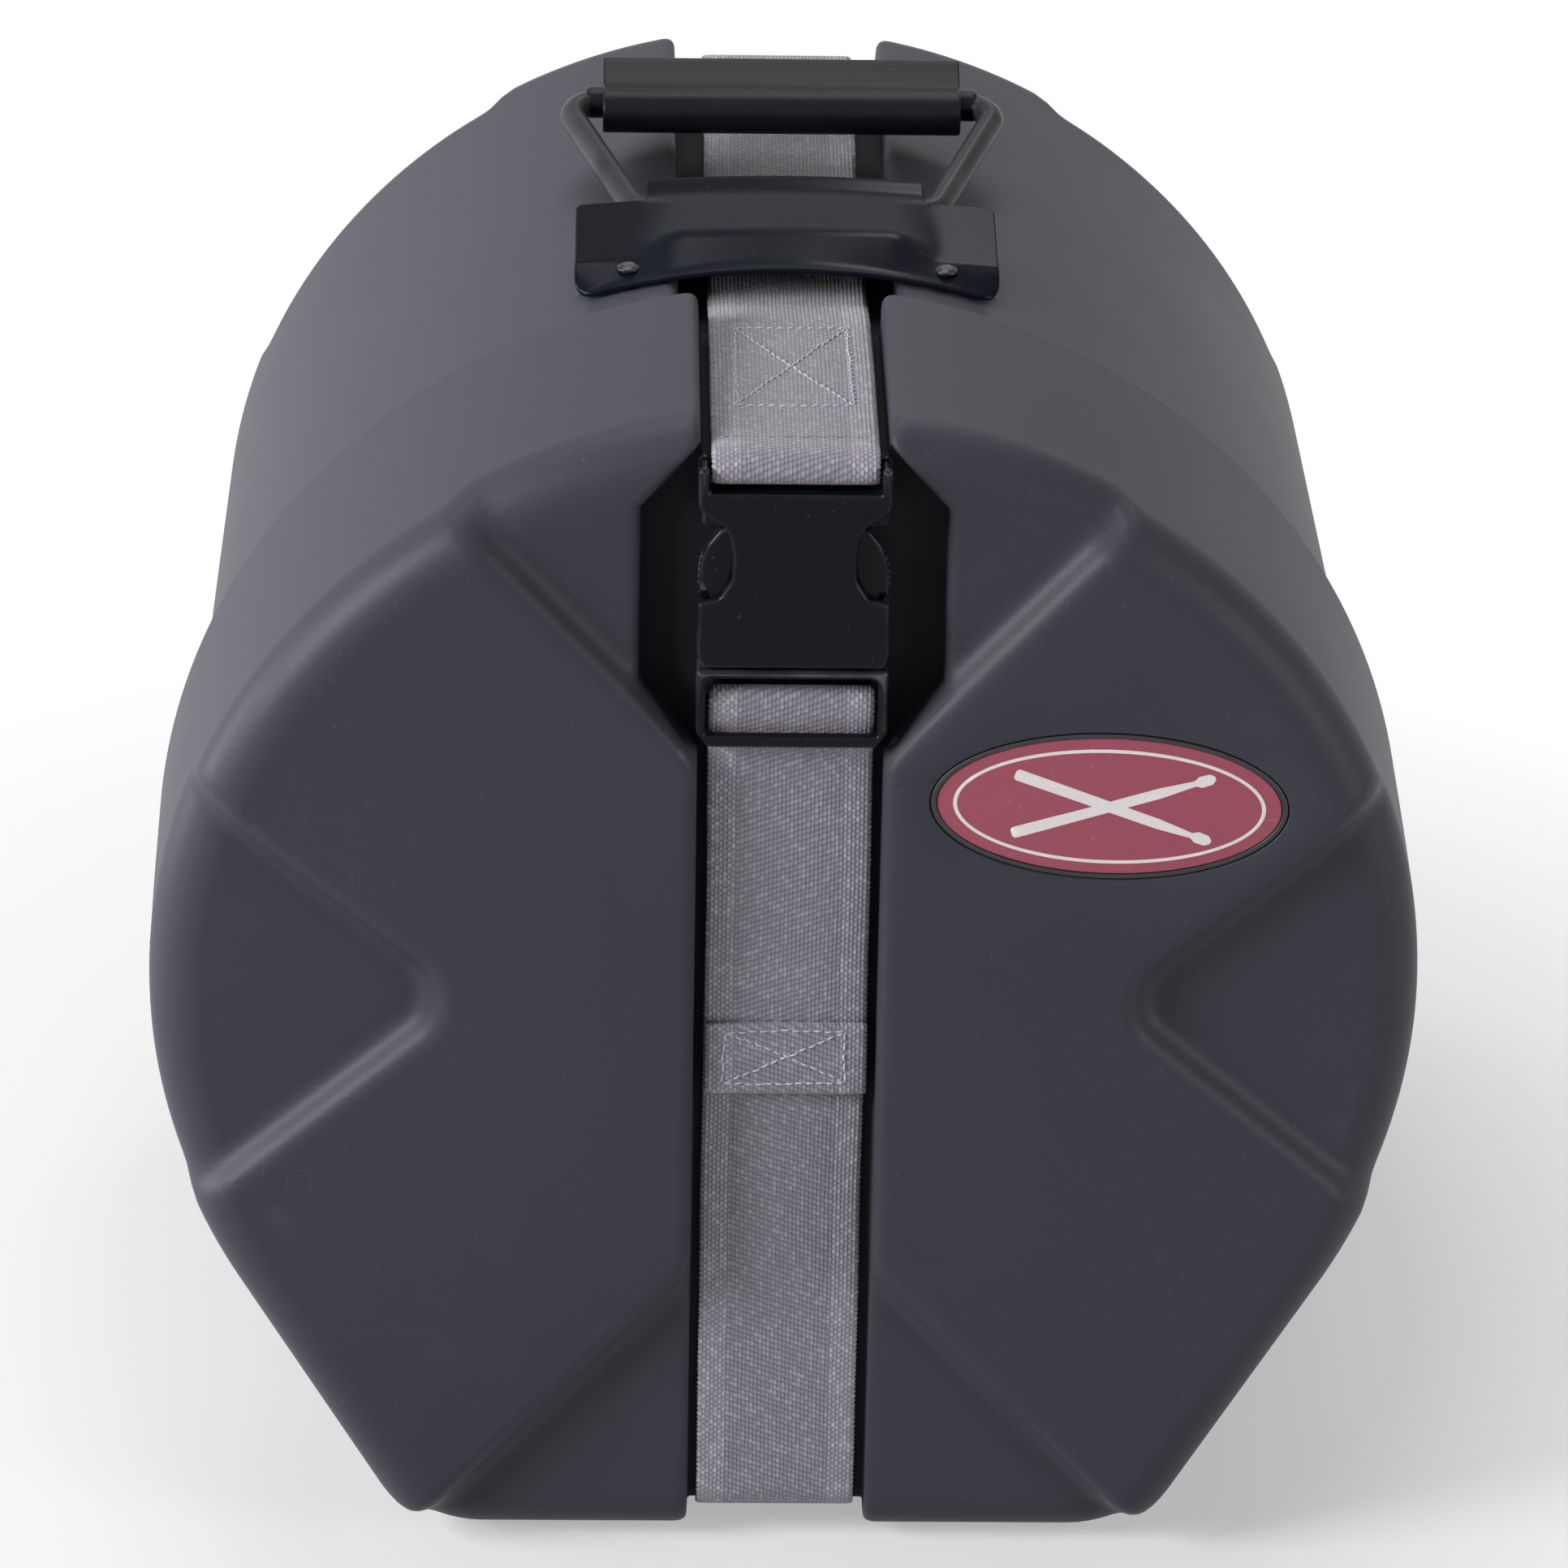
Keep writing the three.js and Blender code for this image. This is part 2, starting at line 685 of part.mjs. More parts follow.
// Lower front webbing: up the channel, over the plug's bar and down again as the loose tail
function makeLowerFront() {
  const bend = bendRadius;
  const barMiddle = atBack((plugBar.front + plugBar.back) / 2);
  const wrapHalf = frontStrap - barMiddle;
  const wrapLevel = atLevel(plugBar.high) - 2 * gap;
  const tail = frontStrap - webThickness - gap;
  const behindBar = atBack(plugLowerBarBack) + gap + webThickness / 2;
  const windowStep = plugWindow.high - plugBar.high;
  const hemLayer = tail - webThickness;
  const loop = band(
    [
      ...arc(
        point(frontStrap + bend, lidBottomStrap + bend),
        point(bend, bend),
        -Math.PI / 2,
        -Math.PI,
        bendSteps,
      ),
      ...arc(point(barMiddle, wrapLevel), point(wrapHalf, wrapHalf), 0, Math.PI, 2 * bendSteps),
      point(barMiddle - wrapHalf, wrapLevel - windowStep + 1),
      point(behindBar + gap, atLevel(plugWindow.low)),
      point(behindBar + 2 * gap, atLevel(plugBottom)),
      point(tail, atLevel(plugBottom - windowStep)),
      point(tail, tailHem),
    ],
    webThickness,
  );
  return loop.add(band([point(hemLayer, tailHem), point(hemLayer, tailHem + hemLength)], webThickness));
}

// A block with its four long edges along Z cut off
function buckleBlock(z0, z1) {
  const y0 = atBack(buckleFront);
  const y1 = y0 + buckleThickness;
  const c = buckleCorner;
  const h = buckleHalf;
  const ring = [
    [-h, y0 + c],
    [c - h, y0],
    [h - c, y0],
    [h, y0 + c],
    [h, y1 - c],
    [h - c, y1],
    [c - h, y1],
    [-h, y1 - c],
  ];
  return solid(loft([z1, z0].map((z) => ring.map(([x, y]) => new THREE.Vector3(x, y, z)))));
}

function makeSocket() {
  const y0 = atBack(buckleFront);
  const y1 = y0 + buckleThickness;
  const z0 = atLevel(socketBottom);
  const z1 = atLevel(socketTop);
  const half = buckleHalf - socketWall;
  let made = buckleBlock(z0, z1);
  made = made.subtract(
    block(-half, half, y0 + socketFace, y1 - socketFace, z0 - overrun, atLevel(socketCavityTop)),
  );
  const throughY = [y0 - overrun, y1 + overrun];
  for (const side of [1, -1]) {
    const scoop = new THREE.CylinderGeometry(
      scoopRadius,
      scoopRadius,
      buckleThickness + 2 * overrun,
      scoopSides,
    );
    scoop.translate(side * scoopX, (y0 + y1) / 2, atLevel(scoopLevel));
    made = made.subtract(solid(scoop));
  }
  const slot = block(-railInner, railInner, ...throughY, atLevel(socketSlotLow), z1 + overrun);
  const bar = block(
    -railInner,
    railInner,
    atBack(socketBar.front),
    atBack(socketBar.back),
    atLevel(socketBar.low),
    atLevel(socketBar.high),
  );
  return made.subtract(slot).add(bar);
}

function makePlug() {
  const y0 = atBack(buckleFront);
  const y1 = y0 + buckleThickness;
  const z0 = atLevel(plugBottom);
  const low = atLevel(plugWindow.low);
  const high = atLevel(plugWindow.high);
  const window = block(-railInner, railInner, y0 - overrun, y1 + overrun, low, high);
  const back = atBack(plugLowerBarBack);
  const behind = block(-railInner, railInner, back, y1 + overrun, z0 - overrun, high);
  const bar = block(
    -railInner,
    railInner,
    atBack(plugBar.front),
    atBack(plugBar.back),
    atLevel(plugBar.low),
    atLevel(plugBar.high),
  );
  return buckleBlock(z0, atLevel(plugTop)).subtract(window).subtract(behind).add(bar);
}

// Side arm of the plug, its head showing in the socket's scoop; (x, rise over the plug) points
const armOutline = [
  [16.5, 0.3],
  [25.9, 0.3],
  [25.9, 5.4],
  [24.6, 22.4],
  [26.1, 24.6],
  [28.3, 24.8],
  [28.5, 28.4],
  [28, 34.4],
  [26, 40.4],
  [22.5, 44.9],
  [19, 46.7],
  [16.5, 44.4],
  [16.8, 37.4],
  [19, 27.4],
  [20.2, 19.4],
  [20.4, 8.4],
  [16.5, 3.9],
];

function makeArm(side) {
  const points = armOutline.map(([x, rise]) => point(side * x, atLevel(plugTop + rise)));
  return through(side > 0 ? points : points.reverse(), atBack(armFront), atBack(armBack));
}

// Handle plate: a sheet with a sloped front flange and a hollow hump over the bail's feet
function makePlate() {
  const z0 = atLevel(seatLevel) + gap;
  const z1 = z0 + plateSheet;
  const y0 = atBack(plateFront);
  const y1 = y0 + plateLength;
  const c = plateCorner;
  const profile = [
    point(y0, z0),
    point(y1, z0),
    point(y1, z1),
    point(y0 + flangeRun, z1),
    point(y0, z1 - flangeDrop),
  ];
  const sheet = across(profile, -plateHalf, plateHalf);
  const corners = [
    [c - plateHalf, y0],
    [plateHalf - c, y0],
    [plateHalf, y0 + c],
    [plateHalf, y1 - c],
    [plateHalf - c, y1],
    [c - plateHalf, y1],
    [-plateHalf, y1 - c],
    [-plateHalf, y0 + c],
  ].map(([x, y]) => point(x, y));
  const footprint = solid(
    loft([z1 + overrun, z0 - overrun].map((z) => corners.map((p) => new THREE.Vector3(p.x, p.y, z)))),
  );
  const hump = (inset, low, high) => {
    const ring = (z, draft, front) => {
      const x = humpHalf - inset - draft;
      const yA = atBack(humpFront) + inset + front;
      const yB = atBack(humpBack) - inset - draft;
      return [
        [-x, yA],
        [x, yA],
        [x, yB],
        [-x, yB],
      ].map(([px, py]) => new THREE.Vector3(px, py, z));
    };
    return solid(loft([ring(high, humpDraft, humpFrontDraft), ring(low, 0, 0)]));
  };
  const lip = (side) => {
    const inner = Math.sqrt(bodyRadius ** 2 - seatLevel ** 2) + lipCorner;
    const points = [point(side * inner, z1 - flangeDrop - gap)];
    for (let x = inner; x <= plateHalf - lipCorner; x += lipCorner / 2)
      points.push(point(side * x, atLevel(Math.sqrt(bodyRadius ** 2 - x ** 2)) + gap));
    points.push(point(side * plateHalf, atLevel(Math.sqrt(bodyRadius ** 2 - plateHalf ** 2)) + lipCorner));
    points.push(point(side * plateHalf, z1 - flangeDrop - gap));
    return through(side > 0 ? points : points.reverse(), y0, y0 + lipSheet);
  };
  const top = atLevel(seatLevel) + humpRise;
  const slot = (side) =>
    block(
      side > 0 ? humpHalf : -legSlotOuter,
      side > 0 ? legSlotOuter : -humpHalf,
      atBack(bailPivot.back - legSlotMargin),
      y1 + overrun,
      z0 - overrun,
      z1 + overrun,
    );
  const bore = rod(
    [point(-legSlotOuter, 0), point(legSlotOuter, 0)],
    bailRod + 2 * gap,
    bailPlane(0),
  );
  let made = sheet.add(lip(1)).add(lip(-1)).intersect(footprint).add(hump(0, z0, top));
  made = made.subtract(hump(plateSheet - humpDraft / 2, z0 - plateSheet, top - plateSheet / 2));
  made = made.subtract(slot(1)).subtract(slot(-1)).subtract(bore);
  for (const seat of rivets) made = made.subtract(rivetHole(seat));
  return made;
}

// The plane of the bail: its origin on the pivot, s pointing away from it and n out of the plane
function bailPlane(angle) {
  const origin = new THREE.Vector3(0, atBack(bailPivot.back), atLevel(bailPivot.level));
  const s = new THREE.Vector3(0, Math.cos(angle), Math.sin(angle));
  const n = new THREE.Vector3(0, -Math.sin(angle), Math.cos(angle));
  return { origin, s, n };
}

// A round bar whose middle follows (x, s) points in a plane
function rod(path, radius, plane) {
  const rings = path.map((p, i) => {
    const before = path[Math.max(i - 1, 0)];
    const after = path[Math.min(i + 1, path.length - 1)];
    const u = new THREE.Vector2().subVectors(i === 0 ? after : p, i === 0 ? p : before).normalize();
    const last = i === path.length - 1;
    const v = new THREE.Vector2().subVectors(last ? p : after, last ? before : p).normalize();
    const bisector = new THREE.Vector2(u.y + v.y, -u.x - v.x);
    bisector.multiplyScalar(2 / bisector.lengthSq());
    return Array.from({ length: rodSides }, (_, k) => {
      const angle = (2 * Math.PI * k) / rodSides;
      const a = radius * Math.cos(angle);
      const b = radius * Math.sin(angle);
      return new THREE.Vector3(p.x + bisector.x * a, 0, 0)
        .add(plane.origin)
        .addScaledVector(plane.s, p.y + bisector.y * a)
        .addScaledVector(plane.n, b);
    });
  });
  return solid(loft(rings));
}

// Rounds the inner corners of a path; a radius of zero leaves a corner as it is
function rounded(corners) {
  const points = [];
  corners.forEach(({ x, y, radius }, i) => {
    if (!radius) {
      points.push(point(x, y));
      return;
    }
    const here = point(x, y);
    const u = point(corners[i - 1].x - x, corners[i - 1].y - y).normalize();
    const v = point(corners[i + 1].x - x, corners[i + 1].y - y).normalize();
    const half = Math.acos(u.dot(v)) / 2;
    const middle = u.clone().add(v).normalize();
    const centre = here.clone().addScaledVector(middle, radius / Math.sin(half));
    const from = here.clone().addScaledVector(u, radius / Math.tan(half)).sub(centre);
    const to = here.clone().addScaledVector(v, radius / Math.tan(half)).sub(centre);
    const turn = Math.atan2(from.x * to.y - from.y * to.x, from.dot(to));
    for (let k = 0; k <= bendSteps; k++) {
      const spot = from.clone().rotateAround(point(0, 0), (turn * k) / bendSteps);
      points.push(spot.add(centre));
    }
  });
  return points;
}

const bailAngle = Math.atan2(bailRise, bailReach);
const bailLength = Math.hypot(bailRise, bailReach);

function makeBail() {
  const side = [
    { x: bailEndHalf, y: 0, radius: 0 },
    { x: bailFootHalf, y: 0, radius: bailFootBend },
    { x: bailTopHalf, y: bailLength, radius: bailTopBend },
  ];
  const other = side.map((p) => ({ ...p, x: -p.x })).reverse();
  return rod(rounded([...side, ...other]), bailRod, bailPlane(bailAngle));
}

function lathe(profile, sides, turn, position) {
  const geometry = new THREE.LatheGeometry(
    profile.map(([r, z]) => point(r, z)),
    sides,
  );
  geometry.applyMatrix4(turn);
  geometry.translate(position.x, position.y, position.z);
  return solid(geometry);
}

const uprightTurn = new THREE.Matrix4().makeRotationX(Math.PI / 2);

function makeGrip() {
  const bore = bailRod + gap;
  const end = gripHalf + gripStub;
  const y = atBack(bailPivot.back + bailReach);
  const z = atLevel(bailPivot.level + bailRise);
  const section = [];
  for (let i = 0; i <= gripSides; i++) {
    const angle = gripBarrel.from + ((gripBarrel.to - gripBarrel.from) * i) / gripSides;
    const turn = THREE.MathUtils.degToRad(angle);
    section.push(
      point(
        y + gripBarrel.y + gripBarrel.radius * Math.cos(turn),
        z + gripBarrel.z + gripBarrel.radius * Math.sin(turn),
      ),
    );
  }
  for (const [a, b] of gripLip) section.push(point(y + a, z + b));
  const level = {
    origin: new THREE.Vector3(0, y, z),
    s: new THREE.Vector3(0, 1, 0),
    n: new THREE.Vector3(0, 0, 1),
  };
  const along = (half, radius) => rod([point(-half, 0), point(half, 0)], radius, level);
  const bar = across(section, -gripHalf, gripHalf).add(along(end, gripStubRadius));
  return bar.subtract(along(end + overrun, bore));
}

// Rivets, their holes and the washers inside the body
const plateTop = atLevel(seatLevel) + gap + plateSheet;
const washerTop = bossLevel - gap;
const washerBottom = washerTop - washerThickness;

function rivetHole({ x, y }) {
  const hole = new THREE.CylinderGeometry(
    rivetShank + gap,
    rivetShank + gap,
    plateTop - bossLevel + 2 * overrun,
    rivetSides,
  );
  hole.rotateX(Math.PI / 2);
  hole.translate(x, y, (plateTop + bossLevel) / 2);
  return solid(hole);
}

function makeRivet({ x, y }) {
  const headBase = plateTop + gap;
  const buttonTop = washerBottom - gap;
  const profile = [
    [0, buttonTop - rivetButtonHeight],
    [rivetButton - rivetButtonHeight / 2, buttonTop - rivetButtonHeight],
    [rivetButton, buttonTop - rivetButtonHeight / 2],
    [rivetButton, buttonTop],
    [rivetShank, buttonTop],
    [rivetShank, headBase],
    [rivetHead, headBase],
    [rivetHead, headBase + rivetDome / 4],
    [rivetHead * 0.8, headBase + rivetDome * 0.7],
    [rivetHead * 0.4, headBase + rivetDome],
    [0, headBase + rivetDome],
  ];
  return lathe(profile, rivetSides, uprightTurn, new THREE.Vector3(x, y, 0));
}

function makeWasher({ x, y }) {
  const hole = rivetShank + gap;
  const profile = [
    [hole, washerBottom],
    [washerRadius, washerBottom],
    [washerRadius, washerTop],
    [hole, washerTop],
    [hole, washerBottom],
  ];
  return lathe(profile, rivetSides, uprightTurn, new THREE.Vector3(x, y, 0));
}

// Badge, and the shallow seat it is glued into
function badgeSolid(depth, rise, extra) {
  const points = Array.from({ length: badgeSides }, (_, i) => {
    const angle = (2 * Math.PI * i) / badgeSides;
    const spot = point(
      (badgeHalfWidth + extra) * Math.cos(angle),
      (badgeHalfHeight + extra) * Math.sin(angle),
    );
    return spot.rotateAround(point(0, 0), badgeTilt).add(point(badgeCentre.x, badgeCentre.z));
  });
  return prism(points, [frontY - rise, 0], [frontY + depth, 0]);
}

const makeLidShell = () =>
  lidBlank(0, 0).subtract(badgeSolid(badgeSink, overrun, gap)).subtract(lidBlank(wall, overrun));
const makeBadge = () => badgeSolid(badgeSink - gap, badgeThickness - badgeSink + gap, 0);

// Foam pads: end pads that fit round the channel and pocket, and side pads against the body
function endPad(form, thickness) {
  const way = Math.sign(form.openY - form.closedY);
  const start = form.closedY + way * (reliefDepth + wall + gap);
  const shrink = wall + padInset;
  const corner = cornerRadius - shrink;
  const points = outline(form.radius - shrink, form.drop - shrink, corner);
  const ends = [start, start + way * thickness].sort((a, b) => a - b);
  return solid(loft(ends.map((y) => ringAt(points, y))));
}

function makeLidPad() {
  const inset = wall + gap;
  return endPad(lidForm, lidPadThickness)
    .subtract(channelTool(lidFloorForm, inset, channelHalf + inset))
    .subtract(
      prism(pocketOutline, [frontY - overrun, inset], [frontY + pocketDepth + inset, inset]),
    );
}

function makeBasePad() {
  const inset = wall + gap;
  return endPad(bodyForm, basePadThickness).subtract(
    channelTool(bodyFloorForm, inset, bodyChannelHalf + inset),
  );
}

function padLayer(sector) {
  const inset = wall + gap;
  const outer = blank(bodyForm, inset, inset, faceFillet - wall, 0);
  const inner = blank(
    bodyForm,
    inset + sidePadThickness,
    inset,
    faceFillet - wall,
    overrun,
  );
  const piece = prism(sector, [atBack(padStart), 0], [atBack(padEnd), 0]);
  return outer.subtract(inner).intersect(piece);
}

function makeSidePad(side) {
  const reach = 2 * lidRadius;
  const ends = padAngles.map((a) => point(reach * Math.cos(a), reach * Math.sin(a)));
  const sector = [point(0, 0), ...ends];
  return padLayer(side > 0 ? sector : mirrored(sector));
}

function makeFloorPad(side) {
  const sector = [
    point(floorPadInner, -lidRadius - overrun),
    point(floorPadOuter, -lidRadius - overrun),
    point(floorPadOuter, 0),
    point(floorPadInner, 0),
  ];
  return padLayer(side > 0 ? sector : mirrored(sector));
}

place("lid_shell", makeLidShell(), shellPlastic);
place("body_shell", makeBodyShell(), shellPlastic);
place("lid_pad", makeLidPad(), foam);
place("base_pad", makeBasePad(), foam);
place("side_pad_right", makeSidePad(1), foam);
place("side_pad_left", makeSidePad(-1), foam);
place("floor_pad_right", makeFloorPad(1), foam);
place("floor_pad_left", makeFloorPad(-1), foam);
place("badge", makeBadge(), badgeRed);
place("handle_plate", makePlate(), coatedSteel);
place("handle_bail", makeBail(), coatedSteel);
place("handle_grip", makeGrip(), gripRubber);
for (const seat of rivets) {
  place("rivet_" + seat.name, makeRivet(seat), rivetSteel);
  place("washer_" + seat.name, makeWasher(seat), rivetSteel);
}
place("strap_top_run", makeTopRun(), webbing);
place("strap_back_run", makeBackRun(), webbing);
place("strap_bottom_run", makeBottomRun(), webbing);
place("strap_upper_front", makeUpperFront(), webbing);
place("strap_lower_front", makeLowerFront(), webbing);
place("buckle_socket", makeSocket(), bucklePlastic);
place("buckle_plug", makePlug(), bucklePlastic);
place("buckle_arm_right", makeArm(1), bucklePlastic);
place("buckle_arm_left", makeArm(-1), bucklePlastic);

export default root;
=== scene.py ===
# %% [markdown]
# # A moulded drum case
#
# The case is a round-topped plastic shell in two halves: a lid that slips over a body. One strap
# runs round both, closed by a side-release buckle on the lid, and a bail handle lies on the crest.
#
# The engineering model comes first. It gives every piece its place and its size, and it is loaded
# here as a fixed frame. This script then dresses that frame: it builds the smooth shells, the
# woven strap and the small fittings that the frame only blocks out, and gives each a procedural
# finish.
#
# All sizes below are in millimetres, measured from two marks: how far a point lies *behind the
# lid's face*, and how high it is over the *centre of the round top*. One helper turns them into
# metres in the frame.

import math

import bmesh
import bpy
import numpy as np
from mathutils import Matrix, Vector
from mathutils.geometry import delaunay_2d_cdt


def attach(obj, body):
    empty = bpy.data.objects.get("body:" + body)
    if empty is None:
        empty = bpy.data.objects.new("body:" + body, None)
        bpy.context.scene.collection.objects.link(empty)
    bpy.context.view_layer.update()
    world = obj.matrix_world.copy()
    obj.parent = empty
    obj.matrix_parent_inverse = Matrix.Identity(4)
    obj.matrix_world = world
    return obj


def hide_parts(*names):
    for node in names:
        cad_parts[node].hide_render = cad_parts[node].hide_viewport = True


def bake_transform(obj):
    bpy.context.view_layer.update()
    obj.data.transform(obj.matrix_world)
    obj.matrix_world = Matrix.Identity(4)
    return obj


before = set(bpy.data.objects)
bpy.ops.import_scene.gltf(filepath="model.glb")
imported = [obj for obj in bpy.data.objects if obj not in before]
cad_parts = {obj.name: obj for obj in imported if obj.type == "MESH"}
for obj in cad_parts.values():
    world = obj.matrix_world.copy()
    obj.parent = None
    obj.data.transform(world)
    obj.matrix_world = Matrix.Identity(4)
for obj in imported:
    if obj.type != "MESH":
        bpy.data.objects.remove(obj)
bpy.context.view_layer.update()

CASE_DEPTH = 376.0
CENTRE_HEIGHT = 195.5  # the centre of the round top, over the ground


def to_frame(points):
    """Turns (x, behind the lid's face, over the centre) in millimetres into frame metres."""
    return (np.asarray(points, float) + [0.0, -CASE_DEPTH / 2, CENTRE_HEIGHT]) / 1000.0

# %% [markdown]
# ## Making meshes from arrays
#
# Most pieces here are computed as arrays of points and faces. One helper turns them into an object
# with smooth shading. Where the exact direction of the surface is known it is stored as a custom
# normal, so a wide flat panel stays flat right up to its rounded edge, with few faces.

# %% Mesh helpers
def place_object(name, data):
    made = bpy.data.objects.new(name, data)
    bpy.context.scene.collection.objects.link(made)
    return made


def make_object(name, points, faces, normals=None, uvs=None):
    """Makes an object from points in millimetres; uvs holds one pair for each point."""
    mesh = bpy.data.meshes.new(name)
    mesh.from_pydata(to_frame(points).tolist(), [], [tuple(int(i) for i in f) for f in faces])
    mesh.update()
    mesh.polygons.foreach_set("use_smooth", [True] * len(mesh.polygons))
    if uvs is not None:
        layer = mesh.uv_layers.new(name="cloth")
        loop_points = np.zeros(len(mesh.loops), int)
        mesh.loops.foreach_get("vertex_index", loop_points)
        layer.data.foreach_set("uv", np.asarray(uvs, float)[loop_points].ravel())
    if normals is not None:
        mesh.normals_split_custom_set_from_vertices([tuple(n) for n in normals])
    return place_object(name, mesh)


def neighbours(rings, count, first=0):
    """Pairs of neighbours round every ring of points but the last."""
    for start in range(first, first + (rings - 1) * count, count):
        for k in range(count):
            yield start + k, start + (k + 1) % count


def unit(vectors, least=1e-12):
    """Rows of vectors, each scaled to a length of one."""
    return vectors / np.maximum(np.linalg.norm(vectors, axis=1), least)[:, None]


def circle_points(x, z, radius, start, stop, count):
    return [(x + radius * math.cos(a), z + radius * math.sin(a)) for a in np.linspace(start, stop, count)]


def fit_out(pieces, material, body, replaced=None):
    """Gives pieces their material, the body they ride on and the node they replace."""
    for piece in pieces:
        piece.data.materials.clear()
        piece.data.materials.append(material)
        if body:
            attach(piece, body)
    if replaced:
        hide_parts(replaced)

# %% [markdown]
# ## Effects that several materials share
#
# Moulded plastic has a faint leathery grain from its tool, and picks up dust and fine scratches.
# Each of these is a small node group with named inputs, built once, and placed in every material
# that shows it with its own values. They read the piece's own coordinates, in metres, so the grain
# has its true size on every piece and stays with it when it moves.

# %% Node helpers
def new_group(name, inputs, outputs):
    """A node group with inputs as (name, default); None stands for a vector."""
    group = bpy.data.node_groups.new(name, "ShaderNodeTree")
    for label, value in inputs:
        kind = "NodeSocketVector" if value is None else "NodeSocketFloat"
        socket = group.interface.new_socket(label, in_out="INPUT", socket_type=kind)
        if value is not None:
            socket.default_value = value
    for label in outputs:
        group.interface.new_socket(label, in_out="OUTPUT", socket_type="NodeSocketFloat")
    return group, group.nodes.new("NodeGroupInput").outputs, group.nodes.new("NodeGroupOutput").inputs


def feed(socket, value):
    """Links a socket to another one, or sets it to a plain value."""
    if isinstance(value, bpy.types.NodeSocket):
        socket.id_data.links.new(value, socket)
    else:
        socket.default_value = value


def node(tree, kind, inputs=None, **settings):
    """Adds a node, and gives its outputs; without a tree it goes where its inputs come from."""
    tree = tree or next(v.id_data for v in inputs.values() if isinstance(v, bpy.types.NodeSocket))
    made = tree.nodes.new("ShaderNode" + kind)
    for key, value in settings.items():
        setattr(made, key, value)
    for key, value in (inputs or {}).items():
        feed(made.inputs[key], value)
    return made.outputs


def maths(operation, *sources, clamp=False):
    return node(None, "Math", dict(enumerate(sources)), operation=operation, use_clamp=clamp)[0]


def vector_maths(operation, *sources):
    return node(None, "VectorMath", dict(enumerate(sources)), operation=operation)


def noise(spot, scale, detail=2.0):
    return node(None, "TexNoise", {"Vector": spot, "Scale": scale, "Detail": detail})["Fac"]


def ramp(value, start, stop, low=0.0, high=1.0, kind="LINEAR"):
    """Maps one range of values onto another, and holds it at both ends."""
    limits = {"Value": value, "From Min": start, "From Max": stop, "To Min": low, "To Max": high}
    return node(None, "MapRange", limits, interpolation_type=kind)["Result"]


def mix_colours(factor, first, second):
    return node(None, "Mix", {0: factor, 6: first, 7: second}, data_type="RGBA")[2]


def srgb(hex_code):
    """A colour as it is seen on a screen, turned into the linear values that shaders use."""
    parts = [int(hex_code[i : i + 2], 16) / 255 for i in (0, 2, 4)]
    return tuple(c / 12.92 if c < 0.04045 else ((c + 0.055) / 1.055) ** 2.4 for c in parts) + (1.0,)


def new_material(name):
    material = bpy.data.materials.new(name)
    material.use_nodes = True
    tree = material.node_tree
    return material, tree, tree.nodes["Principled BSDF"].inputs

# %% Grain
grain, given, shown = new_group(
    "grain", [("Scale", 900.0), ("Patches", 14.0)], ["Height", "Patch", "Speck"])
spot = node(grain, "TexCoord")["Object"]
cells = node(grain, "TexVoronoi", {"Vector": spot, "Scale": given["Scale"]}, feature="SMOOTH_F1")
rough_part = maths("MULTIPLY", cells["Distance"], 0.6)
fine_part = maths("MULTIPLY", noise(spot, given["Scale"]), 0.4)
feed(shown["Height"], maths("ADD", rough_part, fine_part))
feed(shown["Patch"], noise(spot, given["Patches"], 4.0))
feed(shown["Speck"], ramp(noise(spot, 520.0), 0.69, 0.75))

# %% [markdown]
# Scuffs are short, thin and mostly one way. A noise squeezed hard along one direction gives
# streaks, a narrow band of its values keeps a few of them, and a second wide noise breaks them up.

# %% Scuffs
scuffs, given, shown = new_group("scuffs", [("Amount", 0.5)], ["Mask"])
spot = node(scuffs, "TexCoord")["Object"]
masks = []
for turn, size in (
    ((0.5, 0.9, 0.7), (1000.0, 26.0, 60.0)),
    ((0.2, 0.5, -0.8), (34.0, 60.0, 1100.0)),
    ((1.1, -0.7, 0.4), (30.0, 1200.0, 50.0)),
):
    squeezed = node(scuffs, "Mapping", {"Vector": spot, "Rotation": turn, "Scale": size})["Vector"]
    masks.append(ramp(noise(squeezed, 1.0, 0.0), 0.76, 0.84))
streaks = maths("MAXIMUM", maths("MAXIMUM", *masks[:2]), masks[2])
mask = maths("MULTIPLY", streaks, ramp(noise(spot, 9.0), 0.5, 0.65))
feed(shown["Mask"], maths("MULTIPLY", mask, given["Amount"], clamp=True))

# %% [markdown]
# Edges rub first. Cycles knows how sharply the surface bends at each point; the sharpest ridges
# get a lighter, slightly polished tone, broken up by a noise so that the wear isn't even.

# %% Edge wear
wear, given, shown = new_group("edge_wear", [("Low", 0.52), ("High", 0.6)], ["Mask"])
ridge = ramp(node(wear, "NewGeometry")["Pointiness"], given["Low"], given["High"])
patchy = noise(node(wear, "TexCoord")["Object"], 60.0, 3.0)
feed(shown["Mask"], maths("MULTIPLY", ridge, ramp(patchy, 0.35, 0.6), clamp=True))

# %% [markdown]
# ## The plastics, metals and foams
#
# Most finishes here are one recipe with different numbers: a base colour that drifts a little from
# patch to patch, a grain that feeds a bump, scuffs and worn edges that are lighter, and a
# roughness that follows them. A function builds that recipe, and each real finish is one call of
# it.

